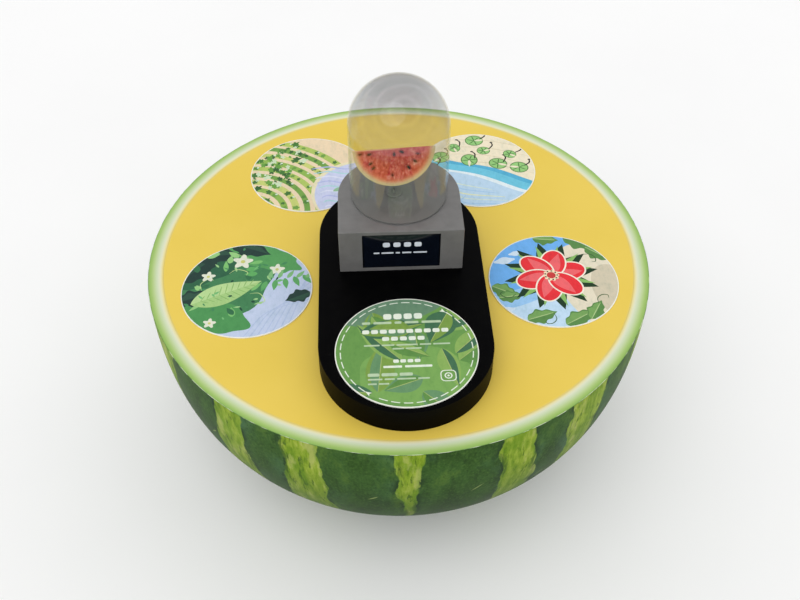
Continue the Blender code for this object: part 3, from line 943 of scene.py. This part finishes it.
def winding(points, middles):
    """How many times a chain of points goes round each middle."""
    chain = np.array(points)
    turns = np.zeros(len(middles), int)
    px = middles[:, 0]
    py = middles[:, 1]
    for (ax, ay), (bx, by) in zip(chain, np.roll(chain, -1, axis=0)):
        left = (bx - ax) * (py - ay) - (px - ax) * (by - ay)
        turns += (ay <= py) & (by > py) & (left > 0)
        turns -= (ay > py) & (by <= py) & (left < 0)
    return turns


def printed_plate(name, outline, levels, paper, shapes, material):
    """A plate whose top face is divided along its print's shapes, each with its own ink.

    levels are (inset, height) from the top face's edge down. The first shape is the print's
    field, and whatever lies outside of it stays paper.
    """
    edge = outline(levels[0][0])
    spots = list(edge)
    rings = [list(range(len(edge)))]
    for _, points in shapes:
        rings.append(list(range(len(spots), len(spots) + len(points))))
        spots += points
    links = [(ring[i - 1], ring[i]) for ring in rings[1:] for i in range(len(ring))]
    made = delaunay_2d_cdt([Vector(p) for p in spots], links, rings[:1], 1, 1e-7, True)
    flat, faces, origins = made[0], [list(f) for f in made[2]], made[3]
    verts = [(x, y, levels[0][1]) for x, y in flat]
    middles = np.array([np.mean([flat[i] for i in face], axis=0) for face in faces])
    owner = np.zeros(len(faces), int)
    for index, (_, points) in enumerate(shapes):
        inside = winding(points, middles) != 0
        owner[inside if index == 0 else inside & (owner > 0)] = index + 1
    inks = [shapes[index - 1][0] if index else paper for index in owner]
    found = {old: new for new, olds in enumerate(origins) for old in olds}
    count = len(edge)
    ring = [found[i] for i in range(count)]
    for inset, height in levels[1:]:
        lower = list(range(len(verts), len(verts) + count))
        verts += [(x, y, height) for x, y in outline(inset)]
        for i in range(count):
            j = (i + 1) % count
            faces.append([ring[i], lower[i], lower[j], ring[j]])
            inks.append(paper)
        ring = lower
    faces.append(ring[::-1])
    inks.append(paper)
    plate = solid(name, verts, faces, material)
    field = plate.data.attributes.new("ink", "FLOAT_COLOR", "CORNER")
    sizes = [polygon.loop_total for polygon in plate.data.polygons]
    field.data.foreach_set("color", np.repeat(np.array(inks), sizes, axis=0).ravel())
    return plate


class Art:
    """A round print's inked shapes, each laid over the ones before it."""

    def __init__(self, *field):
        self.shapes = [(rgb(*field), spot(0, 0, 1))]

    def ink(self, levels, *shapes):
        self.shapes += [(rgb(*levels), shape) for shape in shapes]


def left_front_art():
    """Layered leaves in cool greens over pale blue, with a long pale leaf and small flowers."""
    draw = random.Random(3)
    art = Art(196, 209, 236)
    for i in range(7):
        path = [(0.1 * i, -1.0), (0.35 + 0.08 * i, -0.5 + 0.05 * i), (1.0, -0.25 + 0.13 * i)]
        art.ink((182, 198, 230), stroke(path, 0.018))
    art.ink((66, 130, 84), spot(-0.50, 0.20, 0.92, 0.80, 20, 5, 0.07))
    art.ink((44, 100, 70), spot(-0.75, 0.55, 0.70, 0.42, 30, 6, 0.08))
    art.ink((78, 150, 86), spot(-0.45, -0.55, 0.56, 0.30, -25, 5, 0.08))
    art.ink((88, 160, 92), spot(0.25, 0.72, 0.62, 0.26, -28, 7, 0.08))
    for x, y, length, width, turn in (
        (-1.05, 0.20, 0.85, 0.46, 48),
        (-0.95, 0.75, 0.80, 0.40, 4),
        (-0.30, 1.05, 0.70, 0.36, -24),
        (-1.05, -0.25, 0.55, 0.34, 20),
        (0.98, -0.10, 0.42, 0.26, 205),
    ):
        art.ink((30, 60, 54), leaf(x, y, length, width, turn, 3))
        art.ink((44, 82, 66), leaf(x, y, length * 0.94, width * 0.72, turn, 3, 1))
    for _ in range(22):
        x = draw.uniform(-0.85, 0.30)
        y = draw.uniform(-0.75, 0.85)
        shade = draw.choice([(96, 174, 98), (124, 192, 112), (52, 112, 74), (150, 204, 130)])
        art.ink(shade, leaf(x, y, draw.uniform(0.12, 0.26), draw.uniform(0.06, 0.11), draw.uniform(0, 360)))
    art.ink((168, 206, 132), leaf(-0.84, -0.30, 1.16, 0.44, 24))
    art.ink((186, 218, 150), leaf(-0.84, -0.30, 1.16, 0.44, 24, 0, 1))
    for i in range(9):
        x, y = point_at(0.16 + 0.10 * i, -0.84, -0.30, 24)
        for side in (-1, 1):
            tip = placed([(0.10, side * (0.17 - 0.012 * abs(i - 4) ** 1.4))], x, y, 24)[0]
            art.ink((136, 182, 104), stroke([(x, y), tip], 0.014, 0.6))
    for _ in range(46):
        turn = draw.uniform(0, 360)
        x, y = point_at(draw.uniform(0.25, 0.95), 0, 0, turn)
        if x - 0.7 * y > 0.45:
            continue
        shade = draw.choice([(116, 186, 118), (28, 72, 56), (160, 208, 140), (70, 140, 90)])
        art.ink(shade, leaf(x, y, draw.uniform(0.06, 0.13), draw.uniform(0.025, 0.05), draw.uniform(0, 360)))
    starts = {(-0.30, 0.35): 20, (-0.70, 0.00): 80, (0.05, -0.10): -20, (-0.20, 0.80): -60}
    for start, turn in starts.items():
        curl = placed([(0, 0), (0.12, 0.05), (0.22, 0.0), (0.28, -0.08), (0.24, -0.13)], *start, turn)
        art.ink((196, 222, 150), stroke(curl, 0.014, 0.7))
    for x, y, size in ((-0.10, 0.62, 0.13), (-0.62, 0.30, 0.09), (-0.52, -0.70, 0.08), (0.45, 0.42, 0.10)):
        art.ink((230, 232, 214), spot(x, y, size, size, 12, 5, 0.28))
        art.ink((204, 206, 120), spot(x, y, size * 0.28))
    for i in range(5):
        art.ink((96, 170, 100), leaf(0.30 + 0.14 * i, 0.16 + 0.03 * i, 0.24, 0.09, 250 + 14 * i))
        art.ink((130, 188, 126), leaf(0.34 + 0.14 * i, 0.22, 0.20, 0.07, 80 - 10 * i))
    return art.shapes


def right_front_art():
    """A large red flower in a wreath of leaves, half over sky blue and half over beige."""
    art = Art(112, 180, 246)
    art.ink((156, 204, 248), under(0.10, 0.35, 0.08, 3.0, 0.2))
    art.ink((196, 224, 248), under(-0.30, 0.25, 0.10, 3.0, 0.5))
    art.ink((232, 223, 200), spot(0.78, -0.12, 0.74, 0.98, 18, 3, 0.05))
    art.ink((212, 202, 178), spot(0.95, -0.30, 0.36, 0.62, 12))
    for x, y, length, width, turn in (
        (0.30, 0.98, 0.62, 0.34, -28),
        (0.62, 0.72, 0.50, 0.30, -40),
        (-0.20, 0.96, 0.42, 0.26, -8),
        (-0.98, -0.10, 0.44, 0.28, -30),
        (-0.90, -0.36, 0.40, 0.24, 8),
        (-0.52, -0.84, 0.50, 0.28, 18),
        (0.05, -0.96, 0.56, 0.30, 30),
        (0.45, -0.86, 0.44, 0.26, 60),
    ):
        art.ink((92, 140, 74), leaf(x, y, length, width, turn, 3))
        art.ink((120, 166, 92), leaf(x, y, length * 0.95, width * 0.8, turn, 3, 1))
        art.ink((176, 204, 140), vein(x, y, length * 0.86, turn, 0.016, 0.5))
    for x, y, size in ((-0.72, 0.46, 0.16), (-0.52, 0.62, 0.11), (-0.80, -0.62, 0.12)):
        art.ink((214, 232, 250), spot(x, y, size, size * 0.45, 12, 4, 0.12))
    starts = {(0.55, 0.55): -30, (0.62, -0.55): 60, (-0.62, -0.28): 190, (-0.10, -0.72): 250}
    for start, turn in starts.items():
        curl = placed([(0, 0), (0.10, 0.06), (0.20, 0.03), (0.24, -0.05), (0.19, -0.09)], *start, turn)
        art.ink((60, 96, 52), stroke(curl, 0.016, 0.6))
    x, y = -0.02, 0.10
    for i in range(12):
        turn = 30 * i + 8
        art.ink((20, 56, 28), leaf(x, y, 0.76, 0.27, turn))
        art.ink((140, 190, 104), leaf(x, y, 0.70, 0.12, turn + 5))
    for i in range(6):
        turn = 60 * i + 16
        px, py = point_at(0.28, x, y, turn)
        art.ink((250, 242, 226), spot(px, py, 0.31, 0.215, turn))
        art.ink((236, 46, 56), spot(px, py, 0.285, 0.190, turn))
        art.ink((244, 104, 110), leaf(x, y, 0.52, 0.19, turn - 7))
    art.ink((248, 226, 190), spot(x, y, 0.12, 0.12, 0, 10, 0.10))
    art.ink((206, 60, 60), spot(x, y, 0.07))
    for i in range(9):
        px, py = point_at(0.095, x, y, 40 * i)
        art.ink((50, 24, 22), spot(px, py, 0.014))
    return art.shapes


def left_back_art():
    """Curved terraces in warm greens and peach, and a lavender lake with ripples."""
    draw = random.Random(11)
    art = Art(238, 216, 182)
    x, y = -1.00, -1.00
    shades = [(176, 200, 100), (142, 182, 82), (200, 210, 120), (118, 164, 74)]
    for i in range(9):
        art.ink(shades[i % 4], band(x, y, 0.42 + 0.19 * i, 0.10 + 0.012 * (i % 3), -8, 98))
        for k in range(5 + 2 * i):
            px, py = point_at(0.42 + 0.19 * i, x, y, 2 + 88 * (k + 0.5) / (5 + 2 * i))
            if (i + k) % 3:
                size = draw.uniform(0.035, 0.07)
                shade = draw.choice([(88, 136, 60), (70, 118, 56), (110, 158, 70)])
                art.ink(shade, spot(px, py, size, size * 0.8, draw.uniform(0, 90), 5, 0.2))
            if (i + k) % 4 == 0:
                art.ink((212, 230, 206), spot(px + 0.03, py + 0.02, 0.022))
    for _ in range(70):
        turn = draw.uniform(95, 215)
        x, y = point_at(draw.uniform(0.35, 0.96), 0, 0, turn)
        size = draw.uniform(0.03, 0.075)
        shade = draw.choice([(70, 124, 52), (104, 160, 66), (52, 98, 48), (206, 224, 190)])
        art.ink(shade, spot(x, y, size, size * 0.7, draw.uniform(0, 180), 5, 0.25))
    art.ink((236, 226, 190), spot(1.05, -0.62, 1.03, 0.93, -30))
    art.ink((204, 210, 240), spot(1.10, -0.66, 1.02, 0.92, -30))
    for i in range(9):
        level = 0.12 - 0.13 * i
        path = [(0.05 + 0.03 * i, level), (0.35, level + 0.05), (0.65, level - 0.02), (1.0, level + 0.06)]
        shade = ((182, 190, 234), (178, 218, 226), (222, 226, 248))[i % 3]
        art.ink(shade, stroke(path, 0.035, 0.5))
    for k in range(3):
        art.ink((150, 192, 156), leaf(0.42 + 0.13 * k, -0.50 + 0.12 * k, 0.22, 0.09, 30 + 25 * k))
    return art.shapes


def right_back_art():
    """Round pads with notches on a beige bank, beside a blue stream and pale shallows."""
    draw = random.Random(5)
    art = Art(242, 231, 204)
    for i in range(4):
        path = [(-0.6, 0.86 - 0.2 * i), (0.2, 0.82 - 0.22 * i), (1.0, 0.55 - 0.24 * i)]
        art.ink((228, 214, 184), stroke(path, 0.02, 0.6))
    art.ink((84, 178, 216), under(0.10, -0.46, 0.05, 4.0, 0.4))
    art.ink((110, 200, 228), under(0.00, -0.46, 0.05, 4.0, 0.9))
    art.ink((230, 242, 248), under(-0.20, -0.47, 0.05, 4.0, 1.4))
    art.ink((190, 218, 242), under(-0.28, -0.47, 0.05, 4.0, 1.9))
    for i in range(5):
        drop = 0.12 * i
        path = [(-0.75 + drop, -0.22 - drop), (-0.3, -0.42 - drop), (0.2 + 0.1 * i, -0.58 - 0.10 * i)]
        shade = ((214, 230, 220), (168, 206, 238), (226, 232, 190))[i % 3]
        art.ink(shade, stroke(path, 0.03, 0.6))
    for k, (x, y) in enumerate(PAD_PLACES):
        size = 0.15 if k % 2 == 0 else 0.11
        turn = draw.uniform(0, 360)
        art.ink((84, 128, 66), spot(x, y, size * 1.1, size, turn))
        art.ink((150, 204, 124), spot(x, y, size * 0.98, size * 0.88, turn))
        for i in range(5):
            art.ink((70, 116, 56), vein(x, y, size * 0.86, turn + 60 * i + 40, 0.018, 0.4))
        art.ink((242, 231, 204), leaf(x, y, size * 1.3, size * 0.34, turn))
        reed = placed([(0, 0), (0.05, 0.12), (0.02, 0.20)], x + 0.10, y + 0.04, draw.uniform(-40, 20))
        art.ink((36, 28, 24), stroke(reed, 0.026, 0.3))
        art.ink((36, 28, 24), spot(*reed[-1], 0.026, 0.018))
    return art.shapes


def info_art():
    """Faint leaves under rows of plain bars, inside a ring of dashes."""
    draw = random.Random(21)
    art = Art(106, 154, 78)
    art.ink((104, 140, 112), spot(-0.25, 0.78, 0.78, 0.30, 10, 4, 0.06))
    art.ink((122, 168, 88), spot(0.10, -0.45, 0.80, 0.52, 0, 5, 0.04))
    shades = [(96, 144, 72), (138, 176, 92), (66, 112, 80), (124, 158, 72), (104, 148, 104)]
    for k in range(18):
        turn = draw.uniform(0, 360)
        x, y = draw.uniform(-0.8, 0.8), draw.uniform(-0.8, 0.8)
        length, width = draw.uniform(0.50, 0.95), draw.uniform(0.24, 0.46)
        art.ink(shades[k % 5], leaf(x, y, length, width, turn))
        art.ink(shades[(k + 1) % 5], leaf(x, y, length, width * 0.7, turn, 0, 1 if k % 2 else -1))
        art.ink((168, 186, 112), vein(x, y, length * 0.94, turn, 0.012, 0.6))
    white = (232, 240, 226)
    faint = (188, 210, 176)
    for shade, *row in (
        (white, -0.31, 0.66, 0.110, (0.12,) * 4, 0.028),
        (faint, -0.62, 0.54, 0.045, (0.12, 0.26, 0.10, 0.20, 0.28), 0.045),
        (white, -0.62, 0.37, 0.075, (0.10,) * 10, 0.026),
        (white, -0.34, 0.23, 0.075, (0.10,) * 5, 0.026),
        (faint, -0.60, 0.11, 0.028, (0.22, 0.18, 0.30, 0.16, 0.24), 0.03),
        (faint, -0.20, 0.04, 0.028, (0.16, 0.22), 0.03),
        (white, -0.20, -0.19, 0.060, (0.08,) * 4, 0.020),
        (white, -0.34, -0.29, 0.040, (0.26, 0.38), 0.04),
        (faint, -0.56, -0.43, 0.055, (0.16, 0.22, 0.18), 0.03),
        (faint, -0.56, -0.51, 0.028, (0.20, 0.14, 0.26, 0.16), 0.03),
        (faint, -0.56, -0.59, 0.028, (0.12, 0.14), 0.03),
    ):
        art.ink(shade, *bars(*row))
    arrow = [(0.05, 0), (-0.04, 0.035), (-0.02, 0), (-0.04, -0.035)]
    for k in range(DASHES):
        turn = 360 * k / DASHES
        if k % 17 == 5:
            tip = point_at(0.93, 0, 0, turn)
            art.ink(white, placed(arrow, *tip, turn - 90))
        else:
            art.ink(white, band(0, 0, 0.935, 0.015, turn, turn + 7.6))
    green = (112, 158, 82)
    art.ink(white, bar(0.44, -0.48, 0.22, 0.20))
    art.ink(green, bar(0.454, -0.48, 0.192, 0.172))
    for shade, size in ((white, 0.055), (green, 0.038), (white, 0.016)):
        art.ink(shade, spot(0.55, -0.48, size))
    return art.shapes


def make_round_panels():
    arts = {
        "left_front": left_front_art,
        "right_front": right_front_art,
        "left_back": left_back_art,
        "right_back": right_back_art,
        "info": info_art,
    }
    for place, art in arts.items():
        node = "info_disc" if place == "info" else "picture_disc_" + place
        slot = "info_green" if place == "info" else "picture_" + place
        name = "info_panel" if place == "info" else slot + "_panel"
        centre = middle(node)
        radius = (high(node).x - low(node).x) / 2
        field = radius - DISC_BORDER
        top = high(node).z
        limit = (radius - DISC_EDGE * 1.6) / field

        def outline(inset, centre=centre, radius=radius):
            return arc(centre.x, centre.y, radius - inset, 0, 360, DISC_STEPS)[:-1]

        shapes = []
        for index, (ink, points) in enumerate(art()):
            # Shapes that follow each other end at different distances, so their edges don't coincide
            edge = 1.0 if index == 0 else 1 + (limit - 1) * (0.25 + 0.5 * (index % 16) / 16)
            points = held_in(points, edge)
            shapes.append((ink, [(centre.x + field * x, centre.y + field * y) for x, y in points]))
        levels = [(DISC_EDGE, top), (DISC_EDGE * 0.3, top - DISC_EDGE * 0.3), (0, top - DISC_EDGE)]
        levels.append((0, low(node).z))
        film = print_finish(name + "_print")
        dress(printed_plate(name, outline, levels, rgb(244, 244, 236), shapes, film), slot, node)


# Plinth, housing and screen


def plinth_outline(inset):
    radius = PLINTH_END_RADIUS - inset
    back = arc(0, 0, radius, 0, 180, 96)
    return back + arc(0, PLINTH_FRONT_Y, radius, 180, 360, 96)


def housing_outline(inset):
    radius = HOUSING_RADIUS - inset
    front = HOUSING_FRONT_Y + inset
    corner = CORNER_ROUND
    points = arc(0, 0, radius, 0, 180, 120)
    points += arc(-radius + corner, front + corner, corner, 180, 270, 5)
    return points + arc(radius - corner, front + corner, corner, 270, 360, 5)


def cover_levels(bottom, top, wall):
    """The (inset, height) levels of a cover that is open below and has a rounded top edge."""
    rounding = eased([(0, bottom), (0, top), (3 * EDGE_ROUND, top)], EDGE_ROUND, 5)
    foot = [(wall, top - wall), (wall, bottom), (wall * 0.1, bottom), (0, bottom + wall * 0.1)]
    return foot + rounding[1:]


def make_plinth():
    levels = cover_levels(low("plinth").z, high("plinth").z, PLINTH_WALL)
    black = paint_finish("plinth_paint", (1, 1, 2), (4, 4, 4), 0.45, gloss=0.03)
    plinth = lofted("plinth_cover", plinth_outline, levels, black)
    dress(plinth, "plinth_black", "plinth")


def make_housing():
    levels = cover_levels(low("housing").z, high("housing").z, HOUSING_WALL)
    grey = paint_finish("housing_paint", (108, 107, 106), (116, 115, 114), 0.40)
    housing = lofted("housing_cover", housing_outline, levels, grey)
    corner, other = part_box("screen_glass")

    def window(inset):
        left = corner.x - WINDOW_MARGIN
        right = other.x + WINDOW_MARGIN
        return rectangle(left, HOUSING_FRONT_Y - WINDOW_DEPTH, right, HOUSING_FRONT_Y + WINDOW_DEPTH)

    heights = [(0, corner.z - WINDOW_MARGIN), (0, other.z + WINDOW_MARGIN)]
    cutter = lofted("window_cutter", window, heights, grey)
    cut(housing, cutter)
    dress(housing, "housing_grey", "housing")


def make_screen():
    """The pane, printed flat and then stood up in the housing's window."""
    corner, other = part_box("screen_glass")
    wide = other.x - corner.x
    tall = other.z - corner.z
    deep = other.y - corner.y

    def outline(inset):
        x = wide / 2 - inset - PANE_CORNER
        y = tall / 2 - inset - PANE_CORNER
        corners = ((x, y, 0), (-x, y, 90), (-x, -y, 180), (x, -y, 270))
        return [p for cx, cy, turn in corners for p in arc(cx, cy, PANE_CORNER, turn, turn + 90, 4)]

    half_wide = wide / 2 - SCREEN_BEZEL
    half_tall = tall / 2 - SCREEN_BEZEL
    shapes = [(rgb(7, 11, 20), rectangle(-half_wide, -half_tall, half_wide, half_tall))]
    title = bars(-0.58, 0.245, 0.17, (0.20,) * 4, 0.095)
    line = bars(-0.84, -0.06, 0.055, (0.16, 0.34, 0.12, 0.26, 0.38), 0.06)
    for row in title + line:
        placed_row = [(SCREEN_SHIFT + SCREEN_UNIT * x, SCREEN_UNIT * y) for x, y in row]
        shapes.append((rgb(214, 222, 234), placed_row))
    levels = [(SCREEN_EDGE, deep), (0, deep - SCREEN_EDGE), (0, 0)]
    pane = printed_plate("screen_pane", outline, levels, rgb(4, 5, 8), shapes, screen_finish())
    stand_up = Matrix.Translation((0, corner.y + deep, (corner.z + other.z) / 2))
    pane.data.transform(stand_up @ Matrix.Rotation(math.radians(90), 4, "X"))
    dress(pane, "screen_dark", "screen_glass")


# Dome, its floor and the stand


def make_dome():
    inner = DOME_RADIUS - DOME_WALL
    outside = arc(0, DOME_SHOULDER, DOME_RADIUS, 0, 90, 48)
    inside = arc(0, DOME_SHOULDER, inner, 90, 0, 48)
    down = [(inner, DOME_SHOULDER), (inner, DOME_FOOT)]
    up = [(DOME_RADIUS, DOME_FOOT), (DOME_RADIUS, DOME_SHOULDER)]
    foot = eased(down + up, DOME_FOOT_ROUND, 3)
    profile = [(0, DOME_SHOULDER + inner)] + inside[1:] + foot[1:-1] + outside[:-1]
    profile += [(0, DOME_SHOULDER + DOME_RADIUS)]
    clear = clear_finish("dome_acrylic", DOME_CLEARNESS_AND_SHADE, 0.036, 0.90)
    dress(turned("clear_dome", profile, clear, 256), "clear_acrylic", "dome")


def make_dome_floor():
    corner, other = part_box("dome_floor")
    radius = other.x
    chain = [(0, corner.z), (radius, corner.z), (radius, other.z), (0, other.z)]
    profile = eased(chain, DOME_FLOOR_ROUND)
    grey = paint_finish("dome_floor_paint", (104, 104, 101), (112, 112, 109), 0.5, 18, 500, 0.0003)
    dress(turned("dome_floor_disc", profile, grey, 256), "dome_floor_grey", "dome_floor")


def make_stand():
    corner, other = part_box("wedge_stand")
    centre = (corner.x + other.x) / 2
    radius = (other.x - corner.x) / 2
    shelf = corner.z + STAND_FOOT_THICKNESS
    foot = [(0, corner.z), (radius, corner.z), (radius, shelf)]
    rod = [(STAND_ROD_RADIUS, shelf), (STAND_ROD_RADIUS, other.z), (0, other.z)]
    profile = eased(foot + rod, STAND_ROUND)
    clearness = [(corner.z, 0.990), (other.z, 0.985)]
    clear = clear_finish("stand_acrylic", clearness, 0.004, 0.10, shelf)
    dress(turned("clear_stand", profile, clear, 96, (centre, 0)), "clear_acrylic", "wedge_stand")


# The melon wedge


def seed_places():
    """Each seed's (along, down, strength, side). The back's lie on a half ring."""
    places = [(*seed, -1) for seed in FRONT_SEEDS]
    for index in range(BACK_SEED_COUNT):
        turn = math.pi * (index + 0.7) / (BACK_SEED_COUNT + 0.4)
        ring = WEDGE_RADIUS * (BACK_SEED_RING + 0.10 * math.sin(2.4 * index))
        places.append((ring * math.cos(turn), ring * math.sin(turn), 0.9, 1))
    return places


def seed_reach(along, down, side):
    """How far the nearest seed is, where 1 is its own edge, and how strongly it shows."""
    best = (9.0, 0.0)
    for seed_along, seed_down, strength, seed_side in seed_places():
        if seed_side != side:
            continue
        size = math.hypot(seed_along, seed_down)
        point = (seed_along / size, seed_down / size)
        a = along - seed_along
        d = down - seed_down
        long_way = (a * point[0] + d * point[1]) / (SEED_LENGTH / 2)
        cross_way = (a * point[1] - d * point[0]) / (SEED_WIDTH / 2)
        best = min(best, (math.hypot(long_way, cross_way), strength))
    return best


def wedge_place():
    place = Matrix.Translation((WEDGE_X, 0, WEDGE_RIDGE_HEIGHT))
    return place @ Matrix.Rotation(math.radians(WEDGE_TURN), 4, "Z")


def make_wedge():
    """A slice of a ball: two grainy cut faces that meet in the ridge, and the skin below."""
    half = math.radians(WEDGE_ANGLE / 2)
    rings = 64
    turns = 200
    leans = 40
    verts = []
    facts = []

    def add(share, turn, lean, face):
        """Adds a point by its share of the radius, its turn along the ridge and its lean."""
        along = -WEDGE_RADIUS * share * math.cos(turn)
        down = WEDGE_RADIUS * share * math.sin(turn)
        point = Vector((along, down * math.sin(lean), -down * math.cos(lean)))
        reach, strength = 9.0, 0.0
        if face:
            reach, strength = seed_reach(along, down, face)
            free = min(1.0, min(down, WEDGE_RADIUS * (1 - share)) / FLESH_SMOOTH_EDGE)
            grain = noise.fractal(point * FLESH_GRAINS, 0.9, 2.0, 4) * FLESH_GRAIN * free
            pit = -SEED_PROUD * 0.6 * math.exp(-((reach / 1.3) ** 2)) * free
            outward = Vector((0, math.cos(lean) * face, math.sin(lean) * face))
            point = point + outward * (grain + pit)
        verts.append(point)
        facts.append((share, math.degrees(lean), reach, strength))
        return len(verts) - 1

    centre = add(0.0, 0.0, 0.0, 0)
    front = {}
    back = {}
    skin = {}
    for i in range(rings + 1):
        share = i / rings
        for j in range(turns + 1):
            turn = math.pi * j / turns
            if i == 0:
                front[i, j] = back[i, j] = centre
            elif j in (0, turns):
                front[i, j] = back[i, j] = add(share, turn, 0.0, 0)
            else:
                front[i, j] = add(share, turn, -half, -1)
                back[i, j] = add(share, turn, half, 1)
    for k in range(leans + 1):
        for j in range(turns + 1):
            if k == 0 or j in (0, turns):
                skin[k, j] = front[rings, j]
            elif k == leans:
                skin[k, j] = back[rings, j]
            else:
                skin[k, j] = add(1.0, math.pi * j / turns, half * (2 * k / leans - 1), 0)
    faces = []
    for grid, count in ((front, rings), (back, rings), (skin, leans)):
        for i in range(count):
            for j in range(turns):
                corners = (grid[i, j], grid[i, j + 1], grid[i + 1, j + 1], grid[i + 1, j])
                faces.append(list(dict.fromkeys(corners)))
    local = np.array([tuple(v) for v in verts]) / WEDGE_RADIUS
    verts = [wedge_place() @ v for v in verts]
    wedge = solid("melon_slice", verts, faces, flesh_finish(), 70)
    facts = np.array(facts)
    set_values(wedge.data, "slice_map", local)
    for index, name in enumerate(("depth", "lean", "seed_near", "seed_strength")):
        set_values(wedge.data, name, facts[:, index])
    dress(wedge, "melon_flesh", "melon_wedge")


def make_seeds():
    """Flat drops, sunk into the cut faces with their points towards the core."""
    bm = bmesh.new()
    ripeness = []
    for along, down, strength, side in seed_places():
        lean = math.radians(WEDGE_ANGLE / 2) * side
        ridge = Vector((1, 0, 0))
        down_face = Vector((0, math.sin(lean), -math.cos(lean)))
        outward = ridge.cross(down_face) * -side
        to_rind = (ridge * along + down_face * down).normalized()
        across = outward.cross(to_rind)
        turn = Matrix((across, to_rind, outward)).transposed().to_4x4()
        plump = 0.55 + 0.45 * strength
        size = Matrix.Diagonal((SEED_WIDTH * plump, SEED_LENGTH * plump, 3.4 * SEED_PROUD, 1))
        sunk = SEED_PROUD * (1.55 - 0.80 * strength)
        seat = ridge * along + down_face * down - outward * sunk
        made = bmesh.ops.create_icosphere(bm, subdivisions=4, radius=0.5)
        place = wedge_place() @ Matrix.Translation(seat) @ turn @ size
        for vert in made["verts"]:
            vert.co.x *= 0.82 + 0.36 * vert.co.y
            vert.co = place @ vert.co
            ripeness.append(strength)
    mesh = bpy.data.meshes.new("melon_seeds")
    bm.to_mesh(mesh)
    bm.free()
    mesh.shade_smooth()
    mesh.materials.append(seed_finish())
    set_values(mesh, "ripeness", ripeness)
    dress(added("melon_seeds", mesh), "melon_flesh")


# Carried-over solids, light and camera


def finish_solids():
    """Gives the solids that stay, most of them hidden inside, their own materials."""
    along_z = (1, 1, 0.04)
    along_x = (0.04, 1, 1)
    sensor = paint_finish("sensor_plastic", (216, 216, 210), (228, 228, 222), 0.5)
    finishes = {
        "foot_disc": paint_finish("foot_paint", (30, 30, 32), (40, 40, 42), 0.55, 12, 220, 0.0004),
        "power_inlet": paint_finish("inlet_plastic", (36, 36, 36), (44, 44, 44), 0.4, 60, 700),
        "support_column": metal_finish("column_steel", (140, 143, 148), (168, 170, 174), 0.35, along_z),
        "support_cross": metal_finish("cross_aluminium", (186, 188, 190), (206, 208, 210), 0.32, along_x),
        "display_module": metal_finish("module_metal", (176, 178, 182), (196, 198, 200), 0.38, along_x),
        "power_supply": metal_finish("supply_metal", (170, 172, 176), (192, 194, 198), 0.42, along_x),
        "controller_box": paint_finish("controller_plastic", (60, 60, 66), (72, 72, 78), 0.5, 50, 600),
    }
    for node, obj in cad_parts.items():
        material = sensor if node.startswith("touch_sensor") else finishes.get(node)
        if material:
            obj.data.materials.clear()
            obj.data.materials.append(material)


def make_floor():
    f = Finish("studio_floor", 0.85)
    f.colour(f.mix(f.fade(f.noise(0.8, 3), 0.3, 0.7), rgb(248, 248, 248), rgb(251, 251, 251)))
    rim = [(x, y, 0) for x, y in arc(0, 0, FLOOR_RADIUS, 0, 360, 96)[:-1]]
    mesh = bpy.data.meshes.new("studio_floor")
    mesh.from_pydata(rim, [], [list(range(len(rim)))])
    mesh.materials.append(f.material)
    added("studio_floor", mesh)


def make_light():
    world = bpy.data.worlds.new("studio")
    world.use_nodes = True
    sky = world.node_tree.nodes["Background"]
    sky.inputs["Color"].default_value = (1.0, 1.0, 1.0, 1.0)
    sky.inputs["Strength"].default_value = SKY_STRENGTH
    bpy.context.scene.world = world
    light = bpy.data.lights.new("soft_sun", "SUN")
    light.energy = SUN_STRENGTH
    light.angle = math.radians(SUN_SPREAD)
    sun = added("soft_sun", light)
    sun.rotation_euler = (math.radians(SUN_TILT), math.radians(SUN_ROLL), 0)


def make_camera():
    data = bpy.data.cameras.new("camera")
    data.lens = CAMERA_LENS
    data.sensor_width = 36
    camera = added("camera", data)
    heading = Matrix.Rotation(math.radians(CAMERA_HEADING), 4, "Z")
    tilt = Matrix.Rotation(math.radians(CAMERA_TILT), 4, "X")
    roll = Matrix.Rotation(math.radians(CAMERA_ROLL), 4, "Z")
    camera.matrix_world = Matrix.Translation(CAMERA_PLACE) @ heading @ tilt @ roll
    bpy.context.scene.camera = camera
    bpy.context.scene.view_settings.view_transform = "Standard"


def main():
    make_camera()
    make_light()
    make_floor()
    make_rind()
    make_rim()
    make_top()
    make_round_panels()
    make_plinth()
    make_housing()
    make_screen()
    make_dome()
    make_dome_floor()
    make_stand()
    make_wedge()
    make_seeds()
    finish_solids()


main()
